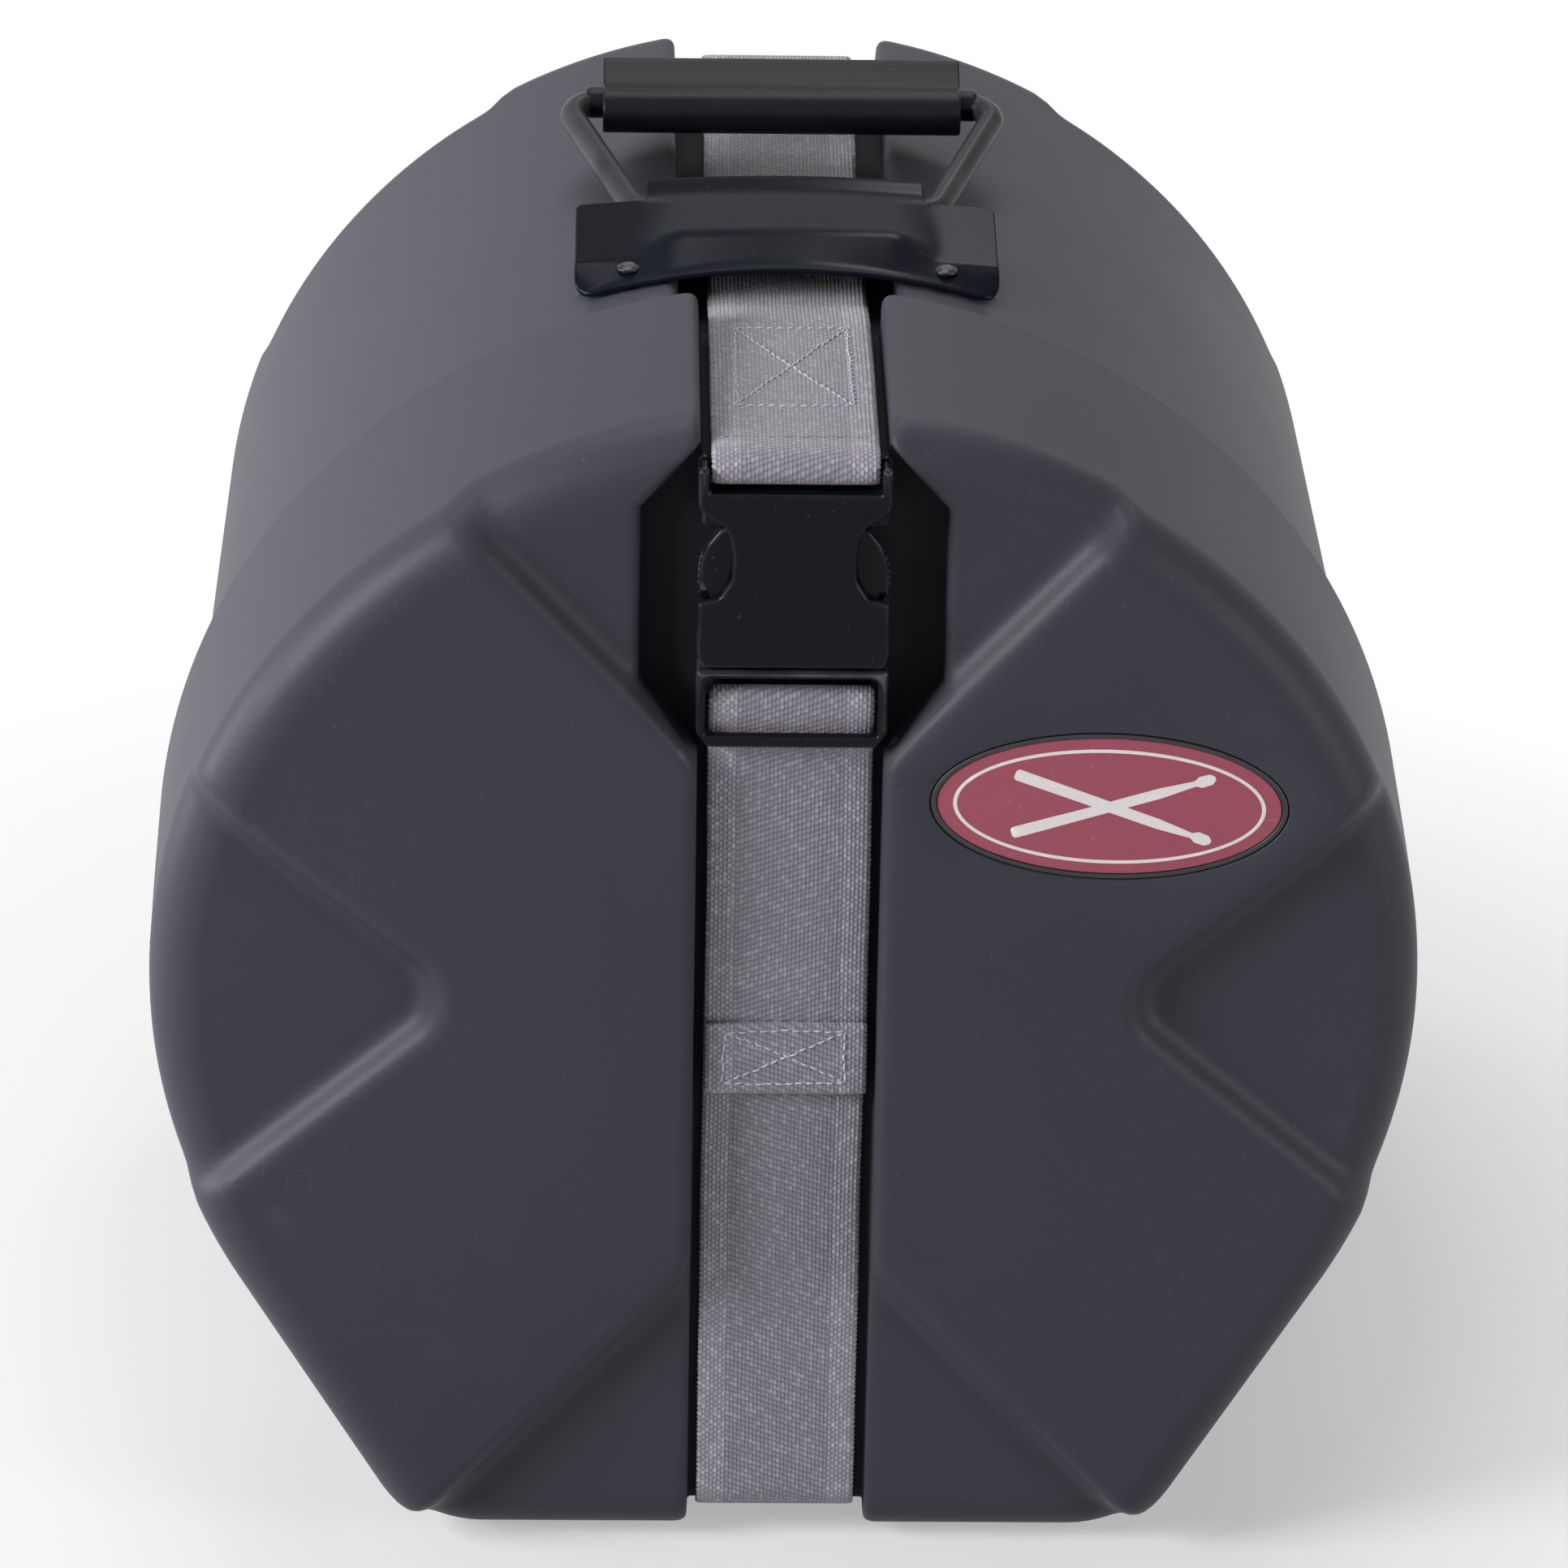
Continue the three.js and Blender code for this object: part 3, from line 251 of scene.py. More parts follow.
# %% A solid finish
def solid_finish(name, colours, roughness, grain_scale, grain_depth,
                 scuff=0.4, worn=(0.52, 0.6), metallic=0.0, specular=0.5):
    """colours are the base, its patches and its worn edges."""
    material, tree, shader = new_material(name)
    base, patch, worn_colour = (srgb(colour) for colour in colours.split())
    grained = node(tree, "Group", {"Scale": grain_scale}, node_tree=grain)
    scuffed = node(tree, "Group", {"Amount": scuff}, node_tree=scuffs)["Mask"]
    edged = node(tree, "Group", {"Low": worn[0], "High": worn[1]}, node_tree=wear)["Mask"]
    drift = mix_colours(grained["Patch"], base, patch)
    dust = maths("MULTIPLY", grained["Speck"], 0.25)
    marks = maths("MAXIMUM", maths("MAXIMUM", scuffed, edged), dust, clamp=True)
    feed(shader["Base Color"], mix_colours(marks, drift, worn_colour))
    rough = maths("ADD", roughness - 0.05, maths("MULTIPLY", grained["Patch"], 0.1))
    rough = maths("ADD", rough, maths("MULTIPLY", scuffed, 0.12), clamp=True)
    feed(shader["Roughness"], rough)
    bump = node(tree, "Bump", {"Height": grained["Height"], "Strength": 1.0, "Distance": grain_depth})
    feed(shader["Normal"], bump["Normal"])
    feed(shader["Metallic"], metallic)
    feed(shader["Specular IOR Level"], specular)
    return material

# %% The finishes
shell_plastic = solid_finish("shell_plastic", "32323a 37373f 5a5a61", 0.47, 1500.0, 0.00005,
                             scuff=0.1, worn=(0.53, 0.68), specular=0.13)
buckle_plastic = solid_finish("buckle_plastic", "0b0c11 101116 50515a", 0.3, 2200.0, 0.00002,
                              scuff=0.1, worn=(0.515, 0.62), specular=0.1)
coated_steel = solid_finish("coated_steel", "0a0d14 10131c 44464f", 0.2, 900.0, 0.00002,
                            scuff=0.04, worn=(0.54, 0.72), specular=0.04)
bail_steel = solid_finish("bail_steel", "1e1e22 26262b 6a6a70", 0.34, 900.0, 0.00004,
                          scuff=0.2, specular=0.12)
rivet_steel = solid_finish("rivet_steel", "131316 1c1c20 5a5a60", 0.26, 900.0, 0.00002,
                           scuff=0.15, metallic=0.15, specular=0.3)
grip_rubber = solid_finish("grip_rubber", "0a0b10 0e0f15 2c2c34", 0.36, 1300.0, 0.00004,
                           scuff=0.08, specular=0.12)
foam_grey = solid_finish("foam_grey", "2b2b2e 353539 4a4a4f", 0.92, 700.0, 0.0004,
                         scuff=0.1, specular=0.2)
badge_red = solid_finish("badge_red", "8a3f50 914756 b5828d", 0.42, 1500.0, 0.00004,
                         scuff=0.25, specular=0.3)
badge_line = solid_finish("badge_line", "d9d2d2 c9c1c2 efebeb", 0.5, 1500.0, 0.00003, scuff=0.2)
badge_rubber = solid_finish("badge_rubber", "17171b 1e1e23 3c3c42", 0.5, 1500.0, 0.00004, scuff=0.1)
thread_white = solid_finish("stitch_thread", "96959d a3a2aa b4b3b9", 0.7, 3000.0, 0.00005, scuff=0.0)
print("finishes:", len(bpy.data.materials))

# %% [markdown]
# Shade is painted into the deep places of the shell, in the channel and the pocket. The shell's
# mesh carries a value that says how deep each point lies, and the colour is painted darker there.
#
# A painted shadow lies on the crest under the grip as well. That mask is a soft oval blob at a
# fixed place on the case, and the strap that lies there uses it too.

# %% Painted shade and shadow
# The painted shadow under the grip: a soft oval mask, fixed on the case.
grip_shadow, given, shown = new_group("painted_grip_shadow", [("Amount", 0.6)], ["Mask"])
spot = node(grip_shadow, "TexCoord")["Object"]
offset = vector_maths("SUBTRACT", spot, (0.0, 0.048, 0.38))["Vector"]
spread = vector_maths("DIVIDE", offset, (0.068, 0.036, 0.04))["Vector"]
away = vector_maths("LENGTH", spread)["Value"]
soft = ramp(away, 0.6, 1.15, 1.0, 0.0, "SMOOTHSTEP")
feed(shown["Mask"], maths("MULTIPLY", soft, given["Amount"]))


def paint_shade(material, amount, dark="08080a", depth=None):
    """Paints shade: mixes a material towards a dark colour by the painted grip shadow, and by a mesh's
    recess where asked.
    """
    tree = material.node_tree
    shader = tree.nodes["Principled BSDF"].inputs
    mask = node(tree, "Group", {"Amount": amount}, node_tree=grip_shadow)["Mask"]
    if depth:
        recess = node(tree, "Attribute", attribute_name="recess")["Fac"]
        mask = maths("MAXIMUM", mask, maths("MULTIPLY", recess, depth))
    colour, rough = (shader[name].links[0].from_socket for name in ("Base Color", "Roughness"))
    feed(shader["Base Color"], mix_colours(mask, colour, srgb(dark)))
    shade_rough = maths("ADD", rough, maths("MULTIPLY", mask, 0.5), clamp=True)
    feed(shader["Roughness"], shade_rough)


# Painted shade in the shell's channel and pocket, and the painted shadow under the grip.
paint_shade(shell_plastic, 0.7, depth=0.72)

# %% [markdown]
# ## The moulded shells
#
# Each half is a blown or rotomoulded shell: a flat end with raised and sunk panels, a rounded rim,
# and a long slightly tapered side. The strap runs in a channel all round, and the lid has a wider
# pocket where fingers reach the buckle.
#
# A boolean model of this would leave ragged edges where the panel steps run out through the rim.
# Here the whole outside is one sheet instead. Think of the rim and the side folded out flat, so
# that the shell becomes a flat D-shaped sheet: the panel outlines, the channel edges and the rings
# of the rim are all drawn on that sheet as lines, the sheet is cut into triangles along them, and
# each corner is then moved to its real place. Every edge gets a few close lines, so it renders as
# a true rounded edge.
#
# The outline itself is a round top, two straight sides that lean in, and a flat floor joined by
# small corners.

# %% The D outline
class Outline:
    """The flat end's outline: its round top's radius, its drop to the floor and its corner."""

    LEAN = math.radians(60)

    def __init__(self, radius, drop, corner):
        self.radius, self.drop, self.corner = radius, drop, corner
        self.corner_z = corner - drop
        self.corner_x = (radius - corner + math.cos(self.LEAN) * self.corner_z) / math.sin(self.LEAN)

    def foot(self, x, z):
        """How far a point lies outside, and the outward direction there."""
        lean_x, lean_z = math.sin(self.LEAN), -math.cos(self.LEAN)
        ax = np.abs(x)
        travel = ax * lean_z - z * lean_x
        below = travel > self.corner_x * lean_z - self.corner_z * lean_x
        r = np.maximum(np.hypot(ax, z), 1e-9)
        dx, dz = ax - self.corner_x, z - self.corner_z
        d = np.maximum(np.hypot(dx, dz), 1e-9)
        parts = [(travel > 0) & ~below, below & (ax <= self.corner_x), below]
        side_out = ax * lean_x + z * lean_z - self.radius
        out = np.select(parts, [side_out, -z - self.drop, d - self.corner], r - self.radius)
        nx = np.select(parts, [lean_x, 0.0, dx / d], ax / r)
        nz = np.select(parts, [lean_z, -1.0, dz / d], z / r)
        return out, nx * np.where(x < 0, -1.0, 1.0), nz

    def ring(self, out):
        """A closed line round the outline grown by a distance."""
        lean, low = math.pi / 2 - self.LEAN, self.corner_z
        r = self.corner + out
        top = circle_points(0, 0, self.radius + out, -lean, math.pi + lean, 171)
        left = circle_points(-self.corner_x, low, r, math.pi + lean, 1.5 * math.pi, 11)
        right = circle_points(self.corner_x, low, r, -math.pi / 2, -lean, 11)
        points = []
        for part, following, count in ((top, left, 10), (left, right, 16), (right, top, 10)):
            start, end = np.array(part[-1]), np.array(following[0])
            steps = np.linspace(0, 1, count)[1:-1]
            points += part + [tuple(start + (end - start) * t) for t in steps]
        return np.array(points + points[:1])

# %% [markdown]
# An edge in moulded plastic is never sharp. A step is described by its height, the run of its
# slope, and the two small rounds at its top and foot. The same description gives both the lines to
# draw on the sheet and the depth at any distance from the edge.

# %% Rounded steps
class Step:
    """A step down from 0 to 1, read by the distance outside the sunk area."""

    def __init__(self, depth, run, top_round, foot_round, bends):
        corner = np.array([-run, depth])
        slope = corner / math.hypot(run, depth)

        def bend(a, b, c):
            t = np.linspace(0, 1, bends)[:, None]
            return (1 - t) ** 2 * a + 2 * t * (1 - t) * b + t * t * c

        top = bend(np.array([top_round, 0.0]), np.zeros(2), slope * top_round)
        foot = bend(corner - slope * foot_round, corner, corner + [-foot_round, 0.0])
        path = np.vstack([top, foot])
        self.lines = path[:, 0]
        self.offsets, self.depths = path[::-1, 0], path[::-1, 1] / depth

    def __call__(self, distance):
        return np.interp(distance, self.offsets, self.depths)


PANEL_DEPTH = 9.0
panel_step = Step(PANEL_DEPTH, 6.0, 4.6, 4.6, bends=6)

# %% [markdown]
# The sunk panels are a wedge above the buckle, a wedge at the foot, and a blunt notch at either
# side. Each edge is a straight line; the notch's two lines meet in a large round.

# %% Panel lines
WEDGE_X, WEDGE_Z, WEDGE_SLOPE = 30.0, 88.0, 0.83
NOTCH_X, NOTCH_Z, NOTCH_ROUND, NOTCH_SLOPE = 125.5, 6.5, 19.5, 0.71


def sunk_panels(x, z):
    """1 in the sunk areas, 0 on the raised ones."""
    along = (np.abs(x) - WEDGE_X) * math.sin(WEDGE_SLOPE)
    wedge = along - (np.abs(z) - WEDGE_Z) * math.cos(WEDGE_SLOPE)
    dx, dz = np.abs(x) - NOTCH_X, np.abs(z - NOTCH_Z)
    on_line = -dx * math.sin(NOTCH_SLOPE) + dz * math.cos(NOTCH_SLOPE)
    ahead = dx * math.cos(NOTCH_SLOPE) + dz * math.sin(NOTCH_SLOPE) > 0
    notch = np.where(ahead, on_line, np.hypot(dx, dz)) - NOTCH_ROUND
    return panel_step(np.minimum(wedge, notch))


def panel_lines():
    """The panel edges as (x, z) lines, several side by side along each rounded step."""
    lines = []
    reach = np.arange(-4, 215, 4.0)[:, None]
    steps = np.arange(4, 130, 4.0)[:, None]
    slope = np.array([math.cos(WEDGE_SLOPE), math.sin(WEDGE_SLOPE)])
    leg = np.array([math.cos(NOTCH_SLOPE), math.sin(NOTCH_SLOPE)])
    for offset in panel_step.lines:
        wedge = np.array([WEDGE_X, WEDGE_Z]) + slope[::-1] * [1, -1] * offset + reach * slope
        wedge = wedge[wedge[:, 0] > 20.0]
        lines += [wedge * flip for flip in ((1, 1), (1, -1), (-1, 1), (-1, -1))]
        nose = np.array(circle_points(NOTCH_X, NOTCH_Z, NOTCH_ROUND + offset,
                                      math.pi / 2 + NOTCH_SLOPE, 1.5 * math.pi - NOTCH_SLOPE, 15))
        notch = np.vstack([(nose[0] + steps * leg)[::-1], nose, nose[-1] + steps * leg * [1, -1]])
        lines += [notch, notch * [-1, 1]]
    return lines

# %% [markdown]
# The strap channel has upright walls and follows a smaller copy of the shell's own profile. Its
# lines run straight over the crest and the floor. The finger pocket round the buckle is a wider
# recess with slanted ends.

# %% Channel and pocket
CHANNEL_DEPTH, CHANNEL_ROUND = 13.0, 8.0
channel_step = Step(CHANNEL_DEPTH, 0.4, 4.2, 1.6, bends=7)
POCKET_DEPTH = 17.0
pocket_step = Step(POCKET_DEPTH, 0.6, 3.4, 1.8, bends=6)
POCKET = np.array([(46.5, 112.0), (46.5, 169.0), (28.5, 188.6), (-28.5, 188.6),
                   (-46.5, 169.0), (-46.5, 112.0), (-28.5, 90.0), (28.5, 90.0)])
pocket_runs = np.roll(POCKET, -1, axis=0) - POCKET
POCKET_SIDES = unit(np.stack([pocket_runs[:, 1], -pocket_runs[:, 0]], 1))
POCKET_LEVELS = (POCKET_SIDES * POCKET).sum(1)


def pocket_depth(x, z, wall):
    """1 inside the pocket, 0 outside it."""
    flat = np.stack([x, z], -1) @ POCKET_SIDES.T - POCKET_LEVELS
    return pocket_step(flat.max(-1) - wall)


def pocket_lines():
    """The pocket's outline, grown or shrunk by each of its step's offsets, with points along it."""
    lines = []
    for offset in pocket_step.lines:
        levels = POCKET_LEVELS + offset
        pairs = [[i - 1, i] for i in range(len(levels))]
        corners = [np.linalg.solve(POCKET_SIDES[pair], levels[pair]) for pair in pairs]
        points = [
            a + (b - a) * t
            for a, b in zip(corners, corners[1:] + corners[:1])
            for t in np.arange(0, 1, 3.0 / max(np.linalg.norm(b - a), 3.1))
        ]
        lines.append(np.array(points + corners[:1]))
    return lines

# %% [markdown]
# One class holds a half shell. It turns a point of the flat sheet into its real place: first the
# plain rounded form, then the panels, the channel and the pocket. The same sheet, pushed in by the
# wall, gives the inside, and the two are joined at the lip.

# %% The half shell
class HalfShell:
    RIM, LIP, WALL = 17.0, 2.0, 5.0
    PANEL_FADE = 45.0  # how far the panels run on down the side

    def __init__(self, length, face_radius, face_drop, face_corner, draft, channel_half, core):
        self.length, self.draft = length, draft
        self.outline = Outline(*(size - self.RIM for size in (face_radius, face_drop, face_corner)))
        self.channel_half = channel_half
        self.core_top, self.core_floor = core
        self.rim_end = self.RIM * math.pi / 2
        self.sheet_end = self.rim_end + length - self.RIM

    def sunk(self, x, z):
        return sunk_panels(x, z)

    def fittings(self, x, y, z, outer):
        return x, y, z

    def fitting_lines(self):
        return []

    def place(self, qx, qz, inside=False):
        """Sheet point to (x, depth behind the face, height)."""
        wall = self.WALL if inside else 0.0
        out, nx, nz = self.outline.foot(qx, qz)
        turn = np.clip(out / self.RIM, 0, math.pi / 2)
        rim = self.RIM - wall
        travel = np.maximum(out - self.rim_end, 0)
        reach = rim * np.sin(turn) + self.draft * travel / (self.length - self.RIM)
        if not inside:
            curl = np.clip((out - (self.sheet_end - self.LIP)) / self.LIP, 0, 1)
            reach = reach - self.LIP * (1 - np.sqrt(1 - curl**2))
        on_face = out <= 0
        base_x, base_z = qx - nx * out, qz - nz * out

        def reached(distance):
            return [np.where(on_face, q, base + n * distance)
                    for q, base, n in ((qx, base_x, nx), (qz, base_z, nz))]

        x, z = reached(reach)
        y = np.where(on_face, wall, wall + rim * (1 - np.cos(turn)) + travel)
        slide = np.clip(1 - (out - self.rim_end) / self.PANEL_FADE, 0, 1)
        slide = slide * slide * (3 - 2 * slide)
        sunk = 1.0 if inside else self.sunk(*reached(np.minimum(reach, rim)))
        y = y + PANEL_DEPTH * sunk * slide
        x, y, z = self.fittings(x, y, z, not inside)
        # The channel is the same sheet point on the smaller core form
        fillet = max(CHANNEL_ROUND - wall, 1.0)
        above = qz > 0
        core_radius = np.where(above, self.core_top, -self.core_floor) - wall
        crest = np.sqrt(np.maximum(self.outline.radius**2 - np.minimum(qx, 60) ** 2, 1))
        flat_end = np.where(above, crest, self.outline.drop)
        level = core_radius - fillet + fillet * np.sin(turn)
        level = np.where(on_face, np.abs(qz) * (core_radius - fillet) / flat_end, level)
        round_top = np.sqrt(np.maximum(level**2 - x**2, 1)) - np.sqrt(np.maximum(level**2, 1))
        level = level + np.where(above & ~on_face, round_top, 0)
        core_side = self.length - CHANNEL_DEPTH - wall - fillet
        core_y = CHANNEL_DEPTH + wall + fillet * (1 - np.cos(turn))
        core_y = core_y + np.where(on_face, 0, travel * core_side / (self.length - self.RIM))
        # How deep the point lies in the channel; the shell's finish paints shade by it.
        self.recess = channel_step(np.abs(x) - self.channel_half - wall)
        y = y + (core_y - y) * self.recess
        z = z + (np.sign(qz) * level - z) * self.recess
        return x, y, z

    def to_sheet(self, line):
        """An (x, z) line as seen on the face, carried out over the rounded rim."""
        out, nx, nz = self.outline.foot(line[:, 0], line[:, 1])
        turned = np.where(out > 0, self.RIM * np.arcsin(np.clip(out / self.RIM, 0, 1)), out)
        moved = line + np.stack([nx, nz], 1) * (turned - out)[:, None]
        return moved[out < self.RIM - 0.02]

    def reach_at(self, spots):
        return np.where(spots < self.rim_end, self.RIM * np.sin(spots / self.RIM), self.RIM)

    def over_crest(self, x, spots):
        """Sheet points of a line at one x over the crest, at distances out past the face."""
        lean = np.arcsin(np.clip(x / (self.outline.radius + self.reach_at(spots)), -1, 1))
        radius = self.outline.radius + spots
        return np.stack([radius * np.sin(lean), radius * np.cos(lean)], 1)

    def under_floor(self, x, spots):
        """The same under the floor, also round the start of the corner."""
        form = self.outline
        if abs(x) <= form.corner_x:
            return np.stack([np.full(len(spots), x), -form.drop - spots], 1)
        lean = np.arcsin((abs(x) - form.corner_x) / (form.corner + self.reach_at(spots)))
        radius = form.corner + spots
        px = form.corner_x + radius * np.sin(lean)
        return np.stack([np.sign(x) * px, form.corner_z - radius * np.cos(lean)], 1)

    def lines(self):
        """All lines of the sheet."""
        rim = list(np.linspace(0, self.rim_end, 11))
        side = list(np.arange(self.rim_end + 5, self.sheet_end - 4, 14.0))
        lip = [self.sheet_end - t for t in (2.6, 2.0, 1.4, 0.8, 0.35, 0.1, 0.0)]
        lines = [self.outline.ring(out) for out in rim + side + lip]
        lines += [self.to_sheet(line) for line in panel_lines()]
        spots = np.array(rim + list(np.arange(self.rim_end + 5, self.sheet_end, 14.0)) + [self.sheet_end])
        for offset in [*channel_step.lines, self.WALL + 0.5, self.WALL - 1.0]:
            for x in (self.channel_half + offset, -(self.channel_half + offset)):
                crest = self.over_crest(x, spots)[::-1]
                floor = self.under_floor(x, spots)
                levels = np.arange(crest[-1, 1] - 4, floor[0, 1] + 2, -4.0)
                face = np.stack([np.full(len(levels), x), levels], 1)
                lines.append(np.vstack([crest, face, floor]))
        return lines + self.fitting_lines()

    def mend_folds(self, points, normals, faces, outward):
        """In a tight corner the sheet can double back on itself; this turns such layers to face out."""
        near = points[:, 1] < 26
        normals[near & (normals[:, 1] * outward < -0.7)] *= -1
        a, b, c = (points[faces[:, k]] for k in range(3))
        lean = unit(np.cross(b - a, c - a))
        back = near[faces[:, 0]] & (lean[:, 1] * outward < -0.7)
        faces[back] = faces[back][:, ::-1]

    def build(self, name, flip):
        """Cuts the sheet along its lines, places both of its sides and closes the lip."""
        corners, edges = [], []
        for line in self.lines():
            if len(line) > 1:
                first = len(corners)
                corners += [Vector(p) for p in line.tolist()]
                edges += [(first + i, first + i + 1) for i in range(len(line) - 1)]
        sheet, _, triangles, *_ = delaunay_2d_cdt(corners, edges, [], 0, 1e-3)
        qx, qz = np.array(sheet).T
        triangles = np.array(triangles)
        hair = 0.015
        sides = []
        for inside in (False, True):
            place = lambda dx, dz: np.stack(self.place(qx + dx, qz + dz, inside), 1)
            points = place(0, 0)
            # The inside gets 0.3 of the painted shade.
            recess = self.recess * (0.3 if inside else 1)
            across = place(hair, 0) - place(-hair, 0)
            normals = unit(np.cross(across, place(0, hair) - place(0, -hair)))
            turned = triangles.copy()
            if inside:
                normals, turned = -normals, turned[:, ::-1].copy()
            self.mend_folds(points, normals, turned, 1 if inside else -1)
            sides.append((points, normals, recess, turned + len(qx) * inside))
        points, normals, recess, faces = (np.concatenate(parts) for parts in zip(*sides))
        used = dict.fromkeys(e for a, b, c in triangles.tolist() for e in ((a, b), (b, c), (c, a)))
        count = len(qx)
        lip = [(b, a, a + count, b + count) for a, b in used if (b, a) not in used]
        faces = [tuple(f) for f in faces.tolist()] + lip
        if flip:
            points[:, 1] = CASE_DEPTH - points[:, 1]
            normals[:, 1] *= -1
            faces = [f[::-1] for f in faces]
        made = make_object(name, points, faces, normals)
        made.data.attributes.new("recess", "FLOAT", "POINT").data.foreach_set("value", recess)
        print(name, len(points), "points")
        return made

# %% [markdown]
# The lid adds the finger pocket and the shallow seat of the badge. The body is the other way
# round: what is sunk on the lid is raised on the back, so that cases nest when they are stacked.
# It also has the flat seat for the handle on its crest and two skids underneath, which bring its
# floor level with the lid's.

# %% The lid
BADGE_X, BADGE_Z, BADGE_TILT = 97.0, 75.5, -0.03
BADGE_HALF = np.array((54.5, 24.6))
BADGE_SEAT, BADGE_GAP = 2.1, 0.3
badge_step = Step(BADGE_SEAT, 0.2, 0.5, 0.3, bends=3)


def badge_spot(u, v):
    """Turns a spot on the badge into (x, z) on the lid."""
    c, s = math.cos(BADGE_TILT), math.sin(BADGE_TILT)
    return BADGE_X + u * c - v * s, BADGE_Z + u * s + v * c


def badge_distance(x, z):
    """Roughly the distance outside the badge's seat."""
    c, s = math.cos(BADGE_TILT), math.sin(BADGE_TILT)
    dx, dz = x - BADGE_X, z - BADGE_Z
    u, v = dx * c + dz * s, -dx * s + dz * c
    a, b = BADGE_HALF + BADGE_GAP
    level = np.hypot(u / a, v / b)
    return level * (level - 1) / np.maximum(np.hypot(u / a**2, v / b**2), 1e-9)


def seat_line(grow):
    """An oval round the badge, grown by a distance."""
    t = np.linspace(0, 2 * math.pi, 97)
    a, b = BADGE_HALF + grow
    return np.stack(badge_spot(a * np.cos(t), b * np.sin(t)), 1)


class LidShell(HalfShell):
    def fittings(self, x, y, z, outer):
        wall = 0.0 if outer else self.WALL
        y = y + np.maximum(POCKET_DEPTH + wall - y, 0) * pocket_depth(x, z, wall)
        if outer:
            y = y + BADGE_SEAT * badge_step(badge_distance(x, z))
        return x, y, z

    def place(self, qx, qz, inside=False):
        x, y, z = super().place(qx, qz, inside)
        wall = self.WALL if inside else 0.0
        pocket = pocket_depth(x, z, wall) * (z > 0)
        # The pocket's depth joins the mask that paints shade.
        self.recess = np.maximum(self.recess, pocket)
        return x, y + np.maximum(POCKET_DEPTH + wall - y, 0) * pocket, z

    def fitting_lines(self):
        lines = [self.to_sheet(line) for line in pocket_lines()]
        return lines + [seat_line(BADGE_GAP + offset) for offset in badge_step.lines]


lid_shell = LidShell(113.0, 197.0, 193.5, 38.0, 2.0, 28.5, (184.0, -182.5)).build("lid_moulding", False)

# %% The body
SEAT_HALF, SEAT_FRONT, SEAT_BACK, SEAT_LEVEL = 65.4, 146.0, 216.0, 184.8
SEAT_RISE, SEAT_END = 152.0, 186.4
SKID_INNER, SKID_OUTER, SKID_FRONT, SKID_BACK = 47.8, 91.8, 129.0, 346.0
SKID_SIDE_FOOT, SKID_END_FOOT = 0.8, 6.0
seat_step = Step(7.0, 1.2, 1.6, 2.2, bends=4)
skid_step = Step(6.5, SKID_END_FOOT, 1.6, 2.0, bends=4)
skid_side_step = Step(6.5, SKID_SIDE_FOOT, 1.6, 2.0, bends=4)


class BodyShell(HalfShell):
    def sunk(self, x, z):
        return 1 - sunk_panels(x, z)

    def fittings(self, x, y, z, outer):
        if not outer:
            return x, y, z
        behind, ax = CASE_DEPTH - y, np.abs(x)
        cut = z > SEAT_LEVEL
        front, back = np.where(cut, SEAT_FRONT, SEAT_RISE), np.where(cut, SEAT_BACK, SEAT_END)
        seat = seat_step(np.maximum(ax - SEAT_HALF, np.maximum(front - behind, behind - back)))
        z = np.where(z > 100, z + (SEAT_LEVEL - z) * seat, z)
        side_out = np.maximum(ax - SKID_OUTER, SKID_INNER - ax)
        end_out = np.maximum(SKID_FRONT - behind, behind - SKID_BACK)
        skid = skid_side_step(side_out + SKID_SIDE_FOOT) * skid_step(end_out + SKID_END_FOOT)
        z = np.where(z < -150, z + (-CENTRE_HEIGHT - z) * skid, z)
        return x, y, z

    def fitting_lines(self):
        lines = []
        spot = lambda behind: self.rim_end + (CASE_DEPTH - behind) - self.RIM
        level_line = lambda curve, xs, behind: np.vstack([curve(x, np.array([spot(behind)])) for x in xs])
        along = np.arange(spot(SEAT_BACK) - 6, spot(SEAT_FRONT) + 7, 4.0)
        xs = np.linspace(-SEAT_HALF - 4, SEAT_HALF + 4, 40)
        for offset in seat_step.lines:
            lines += [self.over_crest(sign * (SEAT_HALF + offset), along) for sign in (1, -1)]
            for behind in (SEAT_FRONT - offset, SEAT_RISE - offset, SEAT_END + offset, SEAT_BACK + offset):
                lines.append(level_line(self.over_crest, xs, behind))
        along = np.arange(spot(SKID_BACK) - 10, spot(SKID_FRONT) + 12, 6.0)
        for offset in skid_side_step.lines - SKID_SIDE_FOOT:
            for sign in (1, -1):
                for x in (SKID_OUTER + offset, SKID_INNER - offset):
                    lines.append(self.under_floor(sign * x, along))
        xs = np.linspace(SKID_INNER - 5, SKID_OUTER + 5, 24)
        for offset in skid_step.lines - SKID_END_FOOT:
            for behind in (SKID_FRONT - offset, SKID_BACK + offset):
                lines += [level_line(self.under_floor, xs * sign, behind) for sign in (1, -1)]
        return lines


body_shell = BodyShell(313.0, 189.0, 187.5, 38.5, 1.5, 34.5, (177.5, -176.0)).build("body_moulding", True)
fit_out([lid_shell], shell_plastic, "lid", "lid_shell")
fit_out([body_shell], shell_plastic, "case_body", "body_shell")

# %% [markdown]
# ## The woven strap
#
# The strap is polyester webbing, 50 mm wide. It runs down the back, under the floor, along the
# crest, and folds round the bars of the buckle. It could be a flat band with a picture of cloth on
# it. Here each run is a real ribbon swept along its route: the edges are toothed, row by row, as
# the weft loops stand out there, and the band sways a little. It carries its own length and width
# as a UV map, so that the weave can follow every fold.
#
# First comes the route: straight pieces and arcs, cut into even steps, with the corners eased.

# %% Routes
STEP = 0.8


def arc_points(centre, radii, start, stop, count=14):
    """Points along an oval arc; angles in degrees."""
    turn = np.radians(np.linspace(start, stop, count))
    return [(centre[0] + radii[0] * math.cos(a), centre[1] + radii[1] * math.sin(a)) for a in turn]


